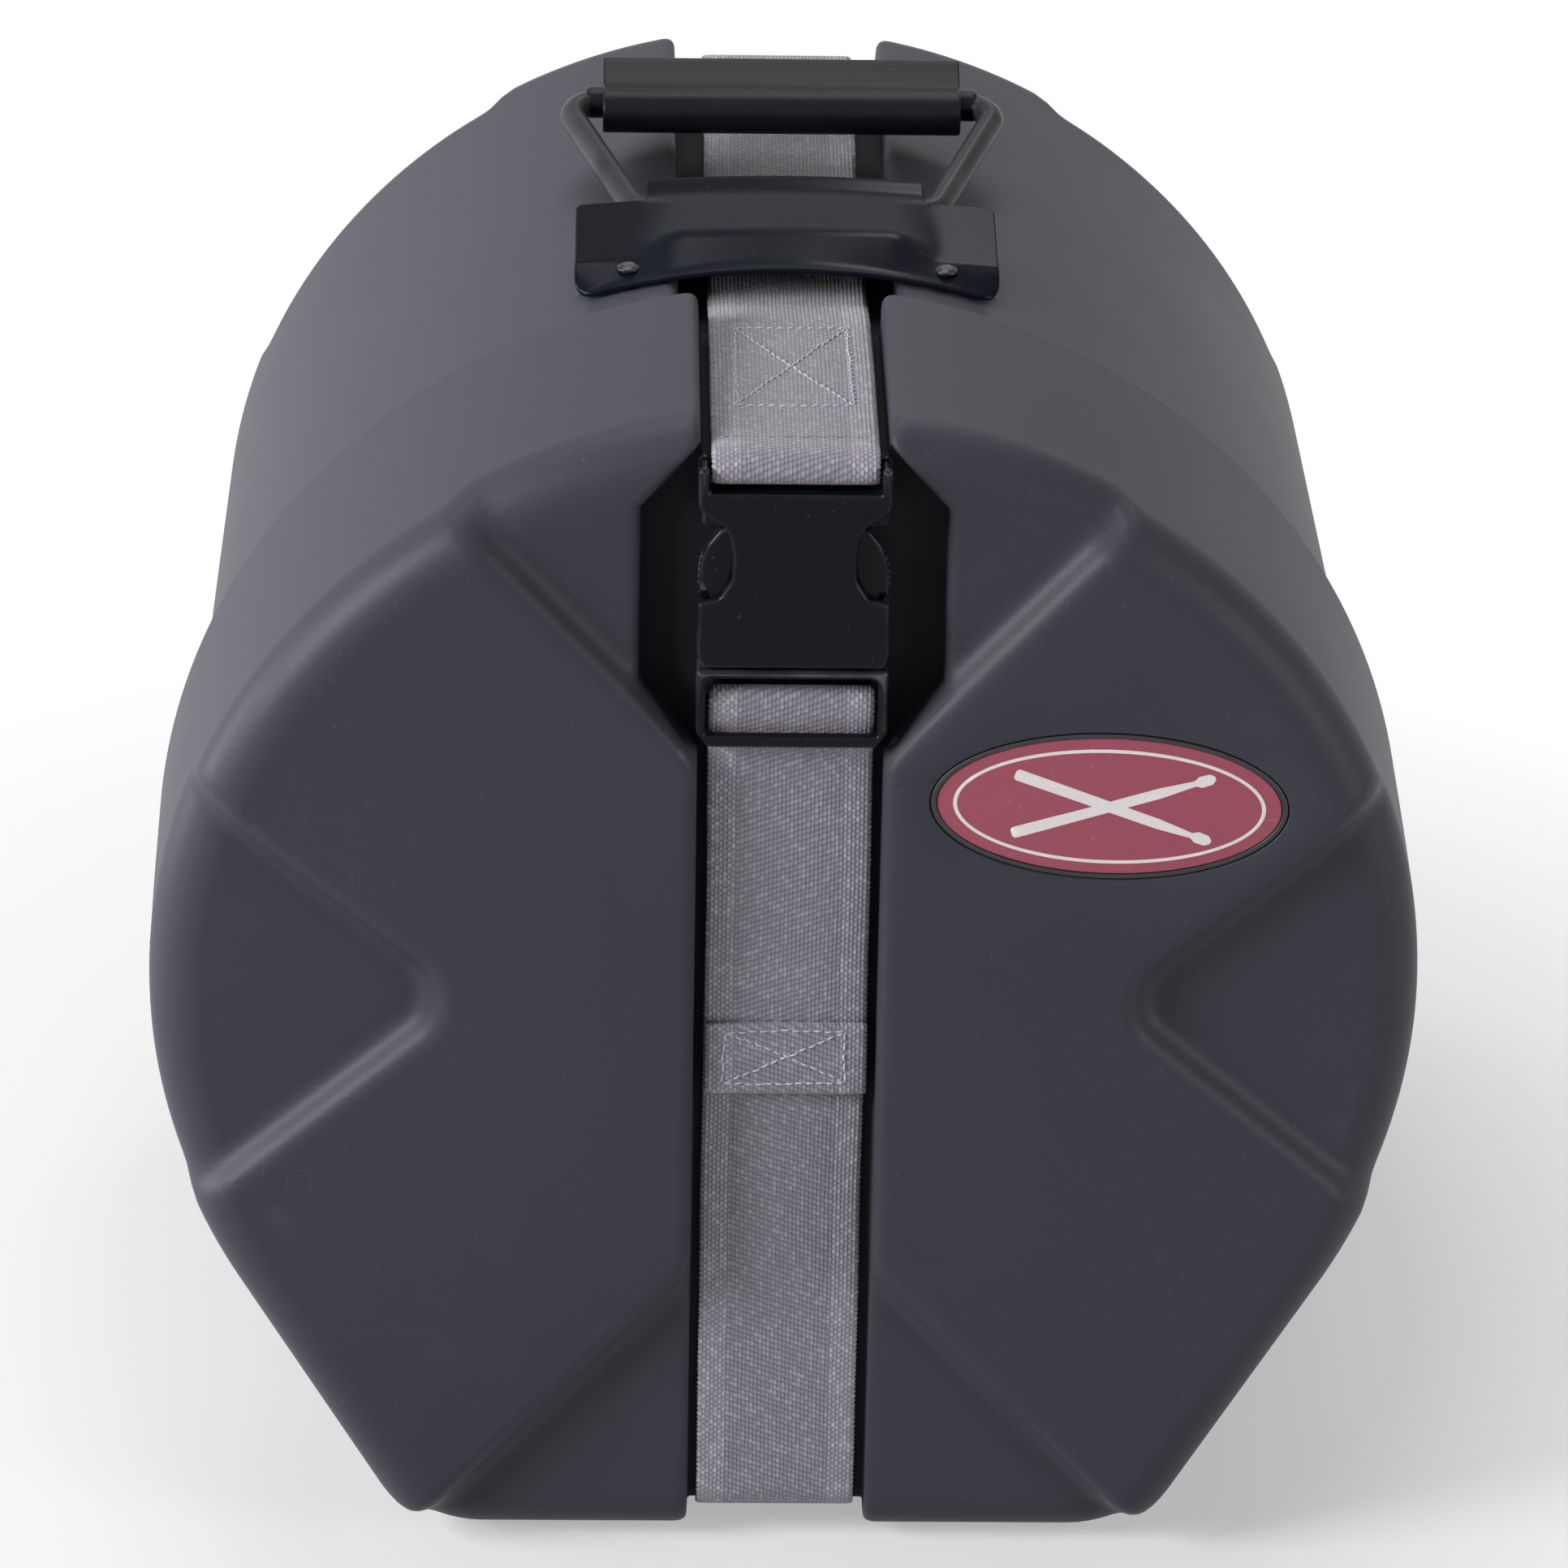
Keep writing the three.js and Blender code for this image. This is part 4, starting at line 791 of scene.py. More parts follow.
def route(points, ease):
    """Even steps along a path of (behind, height) points; corners are eased over a distance."""
    points = np.array(points, float)
    lengths = np.concatenate([[0], np.cumsum(np.linalg.norm(np.diff(points, axis=0), axis=1))])
    even = np.linspace(0, lengths[-1], int(lengths[-1] / STEP) + 1)
    path = np.stack([np.interp(even, lengths, points[:, i]) for i in (0, 1)], 1)
    reach = int(3 * ease / STEP)
    weights = np.exp(-0.5 * (np.arange(-reach, reach + 1) * STEP / ease) ** 2)
    weights /= weights.sum()
    before = 2 * path[0] - path[reach:0:-1]
    after = 2 * path[-1] - path[-2 : -reach - 2 : -1]
    padded = np.vstack([before, path, after])
    return np.stack([np.convolve(padded[:, i], weights, "valid") for i in (0, 1)], 1)

# %% [markdown]
# The ribbon's cross-section is a thin slab with round edges. Every other row reaches out a little
# further, which gives the toothed edge of woven webbing.

# %% Ribbons
WEB_HALF, WEB_THICK = 25.0, 1.7
TOOTH_OUT, TOOTH_IN, FRAY = 0.22, -0.16, 0.07
half_across = np.array([0, 0.33, 0.66, 0.86, 0.95, 0.985, 1])
ACROSS = np.concatenate([-half_across[:0:-1], half_across])
half_swell = np.array([1, 1, 1, 1, 0.9, 0.62, 0.15])
SWELL = np.concatenate([half_swell[:0:-1], half_swell])


def ribbon(name, points, seed, sway=0.25, ease=2.0, lean=0.0):
    """A strip of webbing along a path; its outer side is on the left of the way it runs."""
    path = route(points, ease)
    count = len(path)
    heading = unit(np.gradient(path, axis=0))
    out = np.stack([-heading[:, 1], heading[:, 0]], 1)
    rng = np.random.default_rng(seed)
    along = np.arange(count) * STEP
    wander = sum(rng.uniform(0.3, 1) * np.sin(along / p + rng.uniform(0, 6)) for p in (11.0, 23.0, 41.0))
    shift = sway * 0.5 * wander + lean * (along / along[-1] - 0.5)
    rows, uvs = [], []
    for i in range(count):
        half = WEB_HALF + (TOOTH_OUT if i % 2 else TOOTH_IN) + rng.uniform(-FRAY, FRAY)
        for side in (1, -1):
            for a, swell in zip(ACROSS[::side], SWELL[::side]):
                flat = half * a if abs(a) > 0.96 else WEB_HALF * a
                behind, height = path[i] + out[i] * (side * swell * WEB_THICK / 2)
                rows.append((flat + shift[i], behind, height))
                uvs.append((along[i] / 1000, WEB_HALF * a / 1000))
    width = 2 * len(ACROSS)
    faces = [(b, a, a + width, b + width) for a, b in neighbours(count, width)]
    for row, way in ((0, 1), ((count - 1) * width, -1)):
        for k in range(len(ACROSS) - 1):
            end = row + width - 1 - k
            faces.append((row + k, row + k + 1, end - 1, end)[::way])
    return make_object(name, rows, faces, uvs=uvs)

# %% [markdown]
# The routes below repeat the engineering model's. The crest run lies on the lid and steps down to
# the body behind the lip; its front part is doubled where it is sewn.

# %% The strap's runs
crest_run = ribbon("webbing_crest", [
    (21.3, 185.3), (114, 185.3), (146, 178.8), (184.7, 178.8),
], 3, ease=4.0)
sewn_layer = ribbon("webbing_sewn_layer", [(20.9, 187.15), (108, 187.15)], 4, sway=0.12)
back_run = ribbon("webbing_back", [
    (185.0, 178.8), (290, 178.8), (325, 180.2),
    *arc_points((350, 169.0), (14.3, 13.2), 90, 0),
    *arc_points((355, -168), (9.3, 9.3), 0, -90), (300.15, -177.3),
], 5)
floor_run = ribbon("webbing_floor", [
    (299.85, -177.3), (146, -177.3), (114, -183.8), (21.3, -183.8),
], 6, ease=4.0)

# %% [markdown]
# Under the crest bend the doubled webbing wraps the bar of the buckle's socket: down over the
# front, round the bar, and back up behind it. The lower run wraps the plug's bar in the same way.

# %% The folds at the buckle
upper_fold = ribbon("webbing_upper_fold", [
    (21.1, 187.15),
    *arc_points((13.7, 182.4), (8.7, 4.75), 90, 180),
    *arc_points((8.3, 182.4), (3.3, 3.1), 180, 350),
    (12.5, 183.9), (14.4, 184.9), (17.5, 185.3), (21.1, 185.3),
], 7, sway=0.1, ease=0.8)
lower_fold = ribbon("webbing_lower_fold", [
    *arc_points((20.7, -174.5), (9.3, 9.3), -90, -180),
    *arc_points((8.35, 107.8), (3.05, 3.05), 0, 180),
    (5.3, 102.4), (6.8, 98), (7.1, 93.8), (9.1, 88.8), (9.1, -26.8),
    *arc_points((8.1, -27.2), (1.0, 1.0), 0, -180, 9), (7.15, -20), (7.15, -3.6),
], 8, sway=0.3, ease=0.8, lean=0.8)
strap_runs = [crest_run, sewn_layer, back_run, floor_run, upper_fold, lower_fold]
print("strap points:", sum(len(run.data.vertices) for run in strap_runs))

# %% [markdown]
# The box-and-cross stitches hold the folded ends. Each stitch is a short arched thread that dips
# into the cloth at both ends. A sewing machine makes them even; a hand guides the cloth, so the
# lines wander a little.

# %% Stitches
STITCH, THREAD, THREAD_SIDES, THREAD_RINGS = 3.1, 0.34, 6, 6


def stitch_box(name, half_x, low, high, place, seed):
    """Stitches round a box and along both its diagonals; place turns (x, along, rise) into points."""
    rng = np.random.default_rng(seed)
    corners = [(-half_x, low), (half_x, low + 0.6), (half_x - 0.5, high), (-half_x + 0.8, high - 0.5)]
    points, faces = [], []
    for first, last in ((0, 1), (1, 2), (2, 3), (3, 0), (0, 2), (3, 1)):
        a, b = np.array(corners[first]), np.array(corners[last])
        length = np.linalg.norm(b - a)
        count = max(int(length / STITCH), 2)
        direction = (b - a) / length
        side = np.array([-direction[1], direction[0]])
        bow = rng.uniform(-0.5, 0.5)
        for i in range(count):
            t0, t1 = (i + 0.1) / count, (i + 0.9) / count
            off = bow * math.sin(math.pi * (t0 + t1) / 2) + rng.normal(0, 0.12)
            p0, p1 = a + (b - a) * t0 + side * off, a + (b - a) * t1 + side * (off + rng.normal(0, 0.15))
            pairs = neighbours(THREAD_RINGS, THREAD_SIDES, len(points))
            faces += [(j, k, k + THREAD_SIDES, j + THREAD_SIDES) for j, k in pairs]
            for t in np.linspace(0, 1, THREAD_RINGS):
                arch = math.sin(math.pi * t)
                radius = THREAD * (0.55 + 0.45 * arch)
                for k in range(THREAD_SIDES):
                    turn = 2 * k * math.pi / THREAD_SIDES
                    flat = p0 + (p1 - p0) * t + side * radius * math.cos(turn)
                    points.append(place(*flat, 0.42 * arch - 0.18 + radius * math.sin(turn)))
    return make_object(name, points, faces)


crest_stitches = stitch_box(
    "stitches_crest", 18.0, 44.0, 104.0, lambda x, along, rise: (x, along, 188.0 + rise), 11)
tail_stitches = stitch_box(
    "stitches_tail", 19.0, -24.5, -6.0, lambda x, along, rise: (x, 6.3 - rise, along), 12)

# %% [markdown]
# ## The weave
#
# Seen close, the webbing has two weaves. Along both borders the weft crosses in plain small ribs;
# the wide middle is a twill, whose steps climb sideways from row to row. The strap's UV map holds
# its length and width, so rows and columns of threads can be counted from it. A column's parity
# shifts the plain ribs by half a row, and a quarter row for each column gives the twill.

# %% The weave group
THREADS = [("Cloth", None), ("Row", 1.9), ("Column", 1.25)]
BORDER = 16.5  # where the twill ends, from the middle
weave, given, shown = new_group("webbing_weave", THREADS, ["Height", "Thread Tone", "Border"])


def arch_of(place_in_cloth, share):
    wave = maths("ABSOLUTE", maths("SINE", maths("MULTIPLY", place_in_cloth, math.pi)))
    return maths("MULTIPLY", wave, share)


flat = node(weave, "SeparateXYZ", {0: given["Cloth"]})
along, over = (maths("MULTIPLY", flat[axis], 1000.0) for axis in ("X", "Y"))
along = maths("ADD", along, maths("MULTIPLY", noise(given["Cloth"], 160.0), 0.7))
edge = maths("GREATER_THAN", maths("ABSOLUTE", over), BORDER)
column = maths("DIVIDE", over, given["Column"])
whole = maths("FLOOR", column)
parity = maths("MULTIPLY", maths("MODULO", maths("ABSOLUTE", whole), 2.0), 0.5)
shift = node(weave, "Mix", {0: edge, 2: maths("MULTIPLY", whole, 0.25), 3: parity}, data_type="FLOAT")[0]
row = maths("ADD", maths("DIVIDE", along, given["Row"]), shift)
cell = node(weave, "CombineXYZ", {0: maths("FLOOR", row), 1: whole})[0]
feed(shown["Height"], maths("ADD", arch_of(row, 0.62), arch_of(column, 0.38)))
tone = node(weave, "TexWhiteNoise", {"Vector": cell}, noise_dimensions="2D")
feed(shown["Thread Tone"], tone["Value"])
feed(shown["Border"], edge)

# %% [markdown]
# The cloth is a dull mid grey with a touch of violet. Threads differ a little in tone, the valleys
# between them are painted dark as shade, and the high threads are faintly shiny. The material's
# sheen gives the soft bright rim that fabric shows at a low angle.

# %% The webbing finish
webbing_cloth, tree, shader = new_material("webbing_cloth")
valley, crown, flecks = srgb("524f57"), srgb("97929c"), srgb("c0bcc6")
cloth = node(tree, "UVMap", uv_map="cloth")["UV"]
threads = node(tree, "Group", {"Cloth": cloth}, node_tree=weave)
patches = node(tree, "Group", {"Patches": 30.0}, node_tree=grain)["Patch"]
fleck = ramp(threads["Thread Tone"], 0.55, 1.0, 0.0, 0.6)
# Painted shade: the low valleys between threads are darker.
tone = mix_colours(threads["Height"], valley, crown)
tone = mix_colours(maths("MULTIPLY", fleck, threads["Height"]), tone, flecks)
middle = maths("MULTIPLY", maths("SUBTRACT", 1.0, threads["Border"]), 0.3)
dull = maths("ADD", maths("MULTIPLY", patches, 0.3), middle)
feed(shader["Base Color"], mix_colours(dull, tone, valley))
shine = maths("MULTIPLY", threads["Height"], 0.22)
feed(shader["Roughness"], maths("SUBTRACT", 0.8, shine))
bump = node(tree, "Bump", {"Height": threads["Height"], "Strength": 0.9, "Distance": 0.00035})
feed(shader["Normal"], bump["Normal"])
for label, value in (("Sheen Weight", 0.25), ("Sheen Roughness", 0.4), ("Specular IOR Level", 0.3)):
    feed(shader[label], value)
# The strap under the grip gets the same painted shadow.
paint_shade(webbing_cloth, 0.6, "141317")

# %% [markdown]
# The back run rides with the body, and the tail's stitches with the plug's webbing. The crest and
# floor runs cross from the body to the lid, and the folds cross from the lid to the swinging ends of
# the buckle; the table lists for each the node it replaces, the two bodies and a spot on each, but
# these runs are only fixed in place here, on no body.

# %% What the strap rides on
CREST_BEND = ("case_body", "lid", (0, 184, 178.8), (0, 112, 185.3))
for piece, replaced, first, second, start, end in (
    (crest_run, "strap_top_run", *CREST_BEND),
    (sewn_layer, None, *CREST_BEND),
    (floor_run, "strap_bottom_run", "case_body", "lid", (0, 170, -177.3), (0, 112, -183.8)),
    (upper_fold, "strap_upper_front", "lid", "strap_upper", (0, 20.7, 186), (0, 12, 180)),
    (lower_fold, "strap_lower_front", "lid", "strap_lower", (0, 20.7, -183.8), (0, 11.4, -174)),
    (crest_stitches, None, *CREST_BEND),
):
    tuple(to_frame(start))
    tuple(to_frame(end))
    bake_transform(piece)
    fit_out([piece], thread_white if piece == crest_stitches else webbing_cloth, None, replaced)
fit_out([back_run], webbing_cloth, "case_body", "strap_back_run")
fit_out([tail_stitches], thread_white, "strap_lower")

# %% [markdown]
# ## Small mouldings
#
# The buckle, the badge and the handle's plate are flat shapes with a thickness, holes, and well
# rounded edges. A bevel modifier can round such a block, but it is fragile round scoops and slots.
# Here the outline itself is swept round each edge: a stack of rings, each a little further in and
# out, with the flat faces filled between the last rings. The exact direction of the surface is
# known on every ring, so it goes in as custom normals and the flats stay flat.

# %% Rounded slabs
def closed_offset(loop, inset):
    """Moves each corner of a closed outline inwards along the mean of its two edges' normals."""
    before = unit(loop - np.roll(loop, 1, axis=0), 1e-9)
    after = unit(np.roll(loop, -1, axis=0) - loop, 1e-9)
    out = unit(np.stack([before[:, 1] + after[:, 1], -before[:, 0] - after[:, 0]], 1), 1e-9)
    return loop - out * inset, out


def inside_loops(spot, loops):
    """Whether a spot lies in the material: inside an odd number of the closed loops."""
    inside = False
    for a in loops:
        b = np.roll(a, -1, axis=0)
        spans = (a[:, 1] > spot.y) != (b[:, 1] > spot.y)
        a, b = a[spans], b[spans]
        crossing = a[:, 0] + (spot.y - a[:, 1]) / (b[:, 1] - a[:, 1]) * (b[:, 0] - a[:, 0])
        inside ^= bool((crossing > spot.x).sum() % 2)
    return inside


def press(flat, normals, shape):
    """Lifts points by a height over (a, b), and turns their normals by its slope."""
    hair = 0.05
    a, b = flat[:, 0], flat[:, 1]
    slope_a = (shape(a + hair, b) - shape(a - hair, b)) / (2 * hair)
    slope_b = (shape(a, b + hair) - shape(a, b - hair)) / (2 * hair)
    flat[:, 2] += shape(a, b)
    normals[:, 0] -= normals[:, 2] * slope_a
    normals[:, 1] -= normals[:, 2] * slope_b
    return unit(normals)


def upright(a, b, level):
    """A slab that faces forward: across, height, depth."""
    return a, level, b


def rounded_slab(name, loops, levels, rounds, place=upright, shape=None, bends=5, grid=3.0):
    """A slab between two levels; loops run anticlockwise round the outside, clockwise round holes.

    place turns arrays (a, b, level) into (x, behind, height); shape may move the level by (a, b)."""
    stations = []
    for level, soft, way in zip(levels, rounds, (1, -1)):
        for t in np.linspace(0, math.pi / 2, bends)[::way]:
            inset, rise = soft * (1 - math.sin(t)), soft * (1 - math.cos(t))
            stations.append((inset, level + way * rise, -way * math.cos(t)))
    flat, normals, faces = [], [], []
    caps = {0: [], len(stations) - 1: []}
    for loop in loops:
        count = len(loop)
        faces += [(a, b, b + count, a + count) for a, b in neighbours(len(stations), count, len(flat))]
        for s, (inset, level, facing) in enumerate(stations):
            ring, out = closed_offset(loop, inset)
            reach = math.sqrt(max(0.0, 1 - facing * facing))
            if s in caps:
                caps[s].append((len(flat), ring))
            flat += [(*p, level) for p in ring]
            normals += [(*(o * reach), facing) for o in out]
    for s, rings in caps.items():
        corners, edges, origin = [], [], []
        for start, ring in rings:
            base, count = len(corners), len(ring)
            corners += [Vector(p) for p in ring.tolist()]
            edges += [(base + k, base + (k + 1) % count) for k in range(count)]
            origin += range(start, start + count)
        if shape is not None:
            low, high = np.min(corners, axis=0), np.max(corners, axis=0)
            columns, rows = (np.arange(low[i] + grid / 2, high[i], grid) for i in (0, 1))
            corners += [Vector((float(a), float(b))) for a in columns for b in rows]
        made, _, cap, sources, *_ = delaunay_2d_cdt(corners, edges, [], 1, 1e-5)
        outlines = [ring for _, ring in rings]
        cap = [f for f in cap if inside_loops(sum((made[i] for i in f), Vector((0, 0))) / 3, outlines)]
        lookup = {}
        for i, (spot, source) in enumerate(zip(made, sources)):
            known = [j for j in source if j < len(origin)]
            lookup[i] = origin[known[0]] if known else len(flat)
            if not known:
                flat.append((*spot, stations[s][1]))
                normals.append((0, 0, stations[s][2]))
        faces += [tuple(lookup[i] for i in f)[:: 1 if s else -1] for f in cap]
    flat, normals = np.array(flat), np.array(normals)
    if shape is not None:
        normals = press(flat, normals, shape)
    points = np.stack(place(*flat.T), 1)
    tips = unit(np.stack(place(*(flat + normals * 0.1).T), 1) - points)
    a, b, c = points[list(faces[0][:3])]
    if np.dot(np.cross(b - a, c - a), tips[faces[0][0]]) < 0:
        faces = [f[::-1] for f in faces]
    return make_object(name, points, faces, tips)


def corner_arc(before, here, after, radius, count=0, step=0.6):
    """An arc that rounds a corner, with a count of points, or else by a step's length."""
    here = np.array(here, float)
    u, v = (np.array(spot) - here for spot in (before, after))
    u, v = u / np.linalg.norm(u), v / np.linalg.norm(v)
    half = math.acos(np.clip(np.dot(u, v), -1, 1)) / 2
    centre = here + (u + v) / np.linalg.norm(u + v) * radius / math.sin(half)
    start, stop = (here + way * radius / math.tan(half) - centre for way in (u, v))
    sweep = math.atan2(start[0] * stop[1] - start[1] * stop[0], np.dot(start, stop))
    count = count or max(int(abs(sweep) * radius / step), 5) + 1
    turns = [(math.cos(t), math.sin(t)) for t in np.linspace(0, sweep, count)]
    return [centre + [start[0] * c - start[1] * s, start[0] * s + start[1] * c] for c, s in turns]


def rounded_corners(corners, step=0.6):
    """A closed outline from (a, b, radius) corners, anticlockwise, with round corners."""
    points = []
    for i, (a, b, radius) in enumerate(corners):
        following = corners[(i + 1) % len(corners)]
        if radius > 0:
            points += corner_arc(corners[i - 1][:2], (a, b), following[:2], radius, step=step)
        else:
            points.append(np.array([a, b], float))
    return np.array(points)


def mirrored(corners, sign=-1):
    """Corners mirrored across the middle, in the opposite order, or as they are for a sign of 1."""
    return [(sign * a, b, r) for a, b, r in corners][::sign]


def both_sides(half):
    """A closed outline from the corners of its right half, from the bottom to the top."""
    return rounded_corners(mirrored(half[:1]) + half + mirrored(half[1:]))


SIDES = (("right", 1), ("left", -1))

# %% [markdown]
# ## The buckle
#
# A side-release buckle has two halves. The socket hangs on the upper webbing: a flat box with two
# scoops in its sides, and two ears that hold the bar. The plug has a window for the webbing, and
# two springy arms whose heads click out into the scoops. Each half is built from slabs: a front
# and a back plate from one outline, and the walls between them.

# %% Socket
def buckle_slab(name, body, outlines, levels, rounds, bends=5, replaced=None):
    piece = rounded_slab(name, outlines, levels, rounds, bends=bends)
    fit_out([piece], buckle_plastic, body, replaced)
    print(name, len(piece.data.vertices), "points")


SOCKET_LOW, SOCKET_HIGH, SLOT_LOW = 119.9, 185.4, 177.2
SCOOP = [(28.6, 141.4, 1.2), (22.4, 143.0, 3.2), (18.9, 149.0, 6), (18.5, 156.5, 12),
         (19.4, 162.6, 8), (21.4, 166.6, 5), (25.4, 169.2, 5), (28.9, 172.2, 4)]
right_half = rounded_corners([
    (0, SOCKET_LOW, 0), (27.4, SOCKET_LOW, 1.4), (29.0, SOCKET_LOW + 5, 6.0), *SCOOP,
    (28.9, SOCKET_HIGH, 1.5), (25.7, SOCKET_HIGH, 1.5), (25.7, SLOT_LOW, 0.9), (0, SLOT_LOW, 0),
])
socket = np.vstack([right_half[:-1], right_half[:0:-1] * [-1, 1]])
ear_top = SOCKET_HIGH - 0.8
ears = both_sides([(27.6, 166.5, 1), (28.0, ear_top, 1), (26.1, ear_top, 0.8), (26.1, SLOT_LOW - 0.6, 0.5)])
INSIDE, HAIR_ROUND = (4.5, 12.2), (0.2, 0.2)
buckle_slab("socket_front", "strap_upper", [socket], (2.0, 4.9), (1.5, 0.3), 6, "buckle_socket")
buckle_slab("socket_back", "strap_upper", [socket], (11.8, 14.5), (0.3, 1.2))
buckle_slab("socket_core", "strap_upper", [ears], INSIDE, HAIR_ROUND)
for side, sign in SIDES:
    foot = SOCKET_LOW + 0.5
    wall = mirrored([(26.0, foot, 0.3), (28.1, foot, 0.3), (28.1, 139.5, 0.8), (26.0, 139.5, 0.8)], sign)
    buckle_slab(f"socket_wall_{side}", "strap_upper", [rounded_corners(wall)], INSIDE, HAIR_ROUND)
spine = both_sides([(11.2, SOCKET_LOW + 1.0, 1), (11.2, 166.8, 1)])
buckle_slab("socket_spine", "strap_upper", [spine], (4.6, 12.0), (0.3, 0.3))
bar = both_sides([(26.3, 180.6, 0.2), (26.3, 184.2, 0.2)])
buckle_slab("socket_bar", "strap_upper", [bar], (6.4, 10.2), (1.7, 1.7))

# %% [markdown]
# The plug's frame is one slab with its window cut through it, and a thinner bar across the bottom
# that presses on the webbing. Its arms are bowed: thin at the root, with a broad ribbed head. Both
# arms carry fine grip ribs where the fingers press. They stand on the outer face of the head, just
# inside the scoop.

# %% Plug and arms
PLUG_TOP, PLUG_LOW = 119.2, 93.4
plug = both_sides([(25.6, PLUG_LOW, 3), (29.0, 98.6, 4), (29.0, PLUG_TOP, 1.4)])
window = both_sides([(26.2, 97.4, 1.0), (26.2, 116.4, 3.0)])[::-1]
rim_foot = PLUG_LOW + 3.2
rim_right = [(26.0, 116.6, 1), (26.0, rim_foot, 0.6), (27.6, rim_foot, 1)]
rim_outer = [(28.7, 104, 4), (28.7, PLUG_TOP - 0.2, 1.2)]
plug_rim = rounded_corners(mirrored(rim_right) + rim_right + rim_outer + mirrored(rim_outer))
bar = both_sides([(26.3, 104.8, 0.2), (26.3, 108.1, 0.2)])
buckle_slab("plug_front", "strap_lower", [plug, window], (2.0, 5.2), (1.4, 0.3), 6, "buckle_plug")
buckle_slab("plug_back", "strap_lower", [plug_rim], (4.9, 14.5), (0.2, 1.2))
buckle_slab("plug_bar", "strap_lower", [bar], (6.9, 9.8), (1.3, 1.3))

ARM = [(16.5, 1.3, 0), (22.0, 0.5, 0), (25.9, 0.3, 0), (25.9, 5.4, 2), (24.6, 22.4, 3), (26.1, 24.6, 1),
       (28.3, 24.8, 1.2), (28.6, 28.4, 3), (28.1, 34.4, 6), (26, 40.4, 6), (22.5, 44.9, 3), (19, 46.7, 1.4),
       (16.5, 44.4, 1.5), (16.8, 37.4, 6), (19, 27.4, 10), (20.2, 19.4, 10), (20.4, 8.4, 4), (16.5, 4.3, 1)]
HEAD_HEIGHTS, HEAD_FACE = [24.8, 28.4, 34.4, 40.4], [28.2, 28.45, 28.0, 26.0]
RIBS, RIB_SIDES = 5, 8
for side, sign in SIDES:
    shape = mirrored([(a, PLUG_TOP + b, r) for a, b, r in ARM], sign)
    buckle_slab(f"arm_{side}", f"arm_{side}", [rounded_corners(shape)], (4.9, 11.6), (1.3, 1.3),
                replaced=f"buckle_arm_{side}")

for side, sign in SIDES:
    points, faces = [], []
    for i in range(RIBS):
        level = PLUG_TOP + 27.6 + i * 2.1
        x = sign * np.interp(level - PLUG_TOP, HEAD_HEIGHTS, HEAD_FACE)
        first, last = len(points), len(points) + RIB_SIDES**2 - 1
        for behind in np.linspace(6.0, 10.5, RIB_SIDES):
            for t in np.linspace(0, 2 * math.pi, RIB_SIDES + 1)[:-1]:
                points.append((x + 0.45 * math.cos(t), behind, level + 0.5 * math.sin(t)))
        pairs = neighbours(RIB_SIDES, RIB_SIDES, first)
        faces += [(a, a + RIB_SIDES, b + RIB_SIDES, b) for a, b in pairs]
        faces += [tuple(range(first, first + RIB_SIDES)), tuple(range(last, last - RIB_SIDES, -1))]
    ribs = make_object(f"arm_ribs_{side}", points, faces)
    fit_out([ribs], buckle_plastic, f"arm_{side}")

# %% [markdown]
# ## The handle
#
# The handle is a steel plate riveted on the crest, with a hump pressed up over the feet of a steel
# bail, and a moulded grip on the bail. The plate is thin sheet that was pressed in a die, so every
# fold is a generous round. It is made as a flat blank, cut into a fine grid, and then pressed: a
# height for each point lifts the hump and the wings, and lays the front edge on the curved crest.

# %% The pressed form
CREST = 190.5
PLATE_FRONT, WING_BACK, PLATE_BACK, PLATE_HALF, TAIL_HALF = 141.0, 188.6, 213.0, 67.0, 44.5
SEAT_CLEAR, PLATE_SHEET = 185.2, 1.7
HUMP_TOP, HUMP_HALF, LIP_RISE, WING_RISE = 194.6, 43, 1.9, 7.0


def soft_ramp(value, start, stop, soft):
    """0 before start, 1 after stop, straight between them, with both corners eased."""
    moves = np.linspace(-soft, soft, 9)
    return np.mean([np.clip((value + o - start) / (stop - start), 0, 1) for o in moves], axis=0)


def plate_shape(x, v):
    """How far the pressed sheet stands over its flat seat."""
    ax = np.abs(x)
    crest = np.sqrt(np.maximum(CREST**2 - ax**2, 1)) + 0.35
    wing = SEAT_CLEAR + 0.7 + 0.09 * (PLATE_HALF - ax)
    wing = wing + WING_RISE * soft_ramp(v, 152, WING_BACK + 1, 1.5)
    seat = np.where(ax < 45.5, SEAT_CLEAR, wing)
    seat = seat + (wing - seat) * (1 - soft_ramp(v, WING_BACK, 204, 3.0))
    sheet = crest + (seat - crest) * soft_ramp(v, 143.5, 153.0, 2.2)
    bow = 1.2 - 1.6 * (ax / HUMP_HALF) ** 2
    raised = crest + (HUMP_TOP + bow - crest) * soft_ramp(v, 144.0, 160.5, 2.6)
    raised = raised + LIP_RISE * soft_ramp(v, 194.0, 201.0, 2.2)
    raised = raised + (SEAT_CLEAR - raised) * soft_ramp(v, 203.6, 206.8, 1.0)
    wider = 12.0 * soft_ramp(v, 187.0, 195.0, 1.0)
    hump = soft_ramp(-ax, -47.0 - wider, -35.5 - wider, 3.2)
    return sheet + (raised - sheet) * hump - SEAT_CLEAR


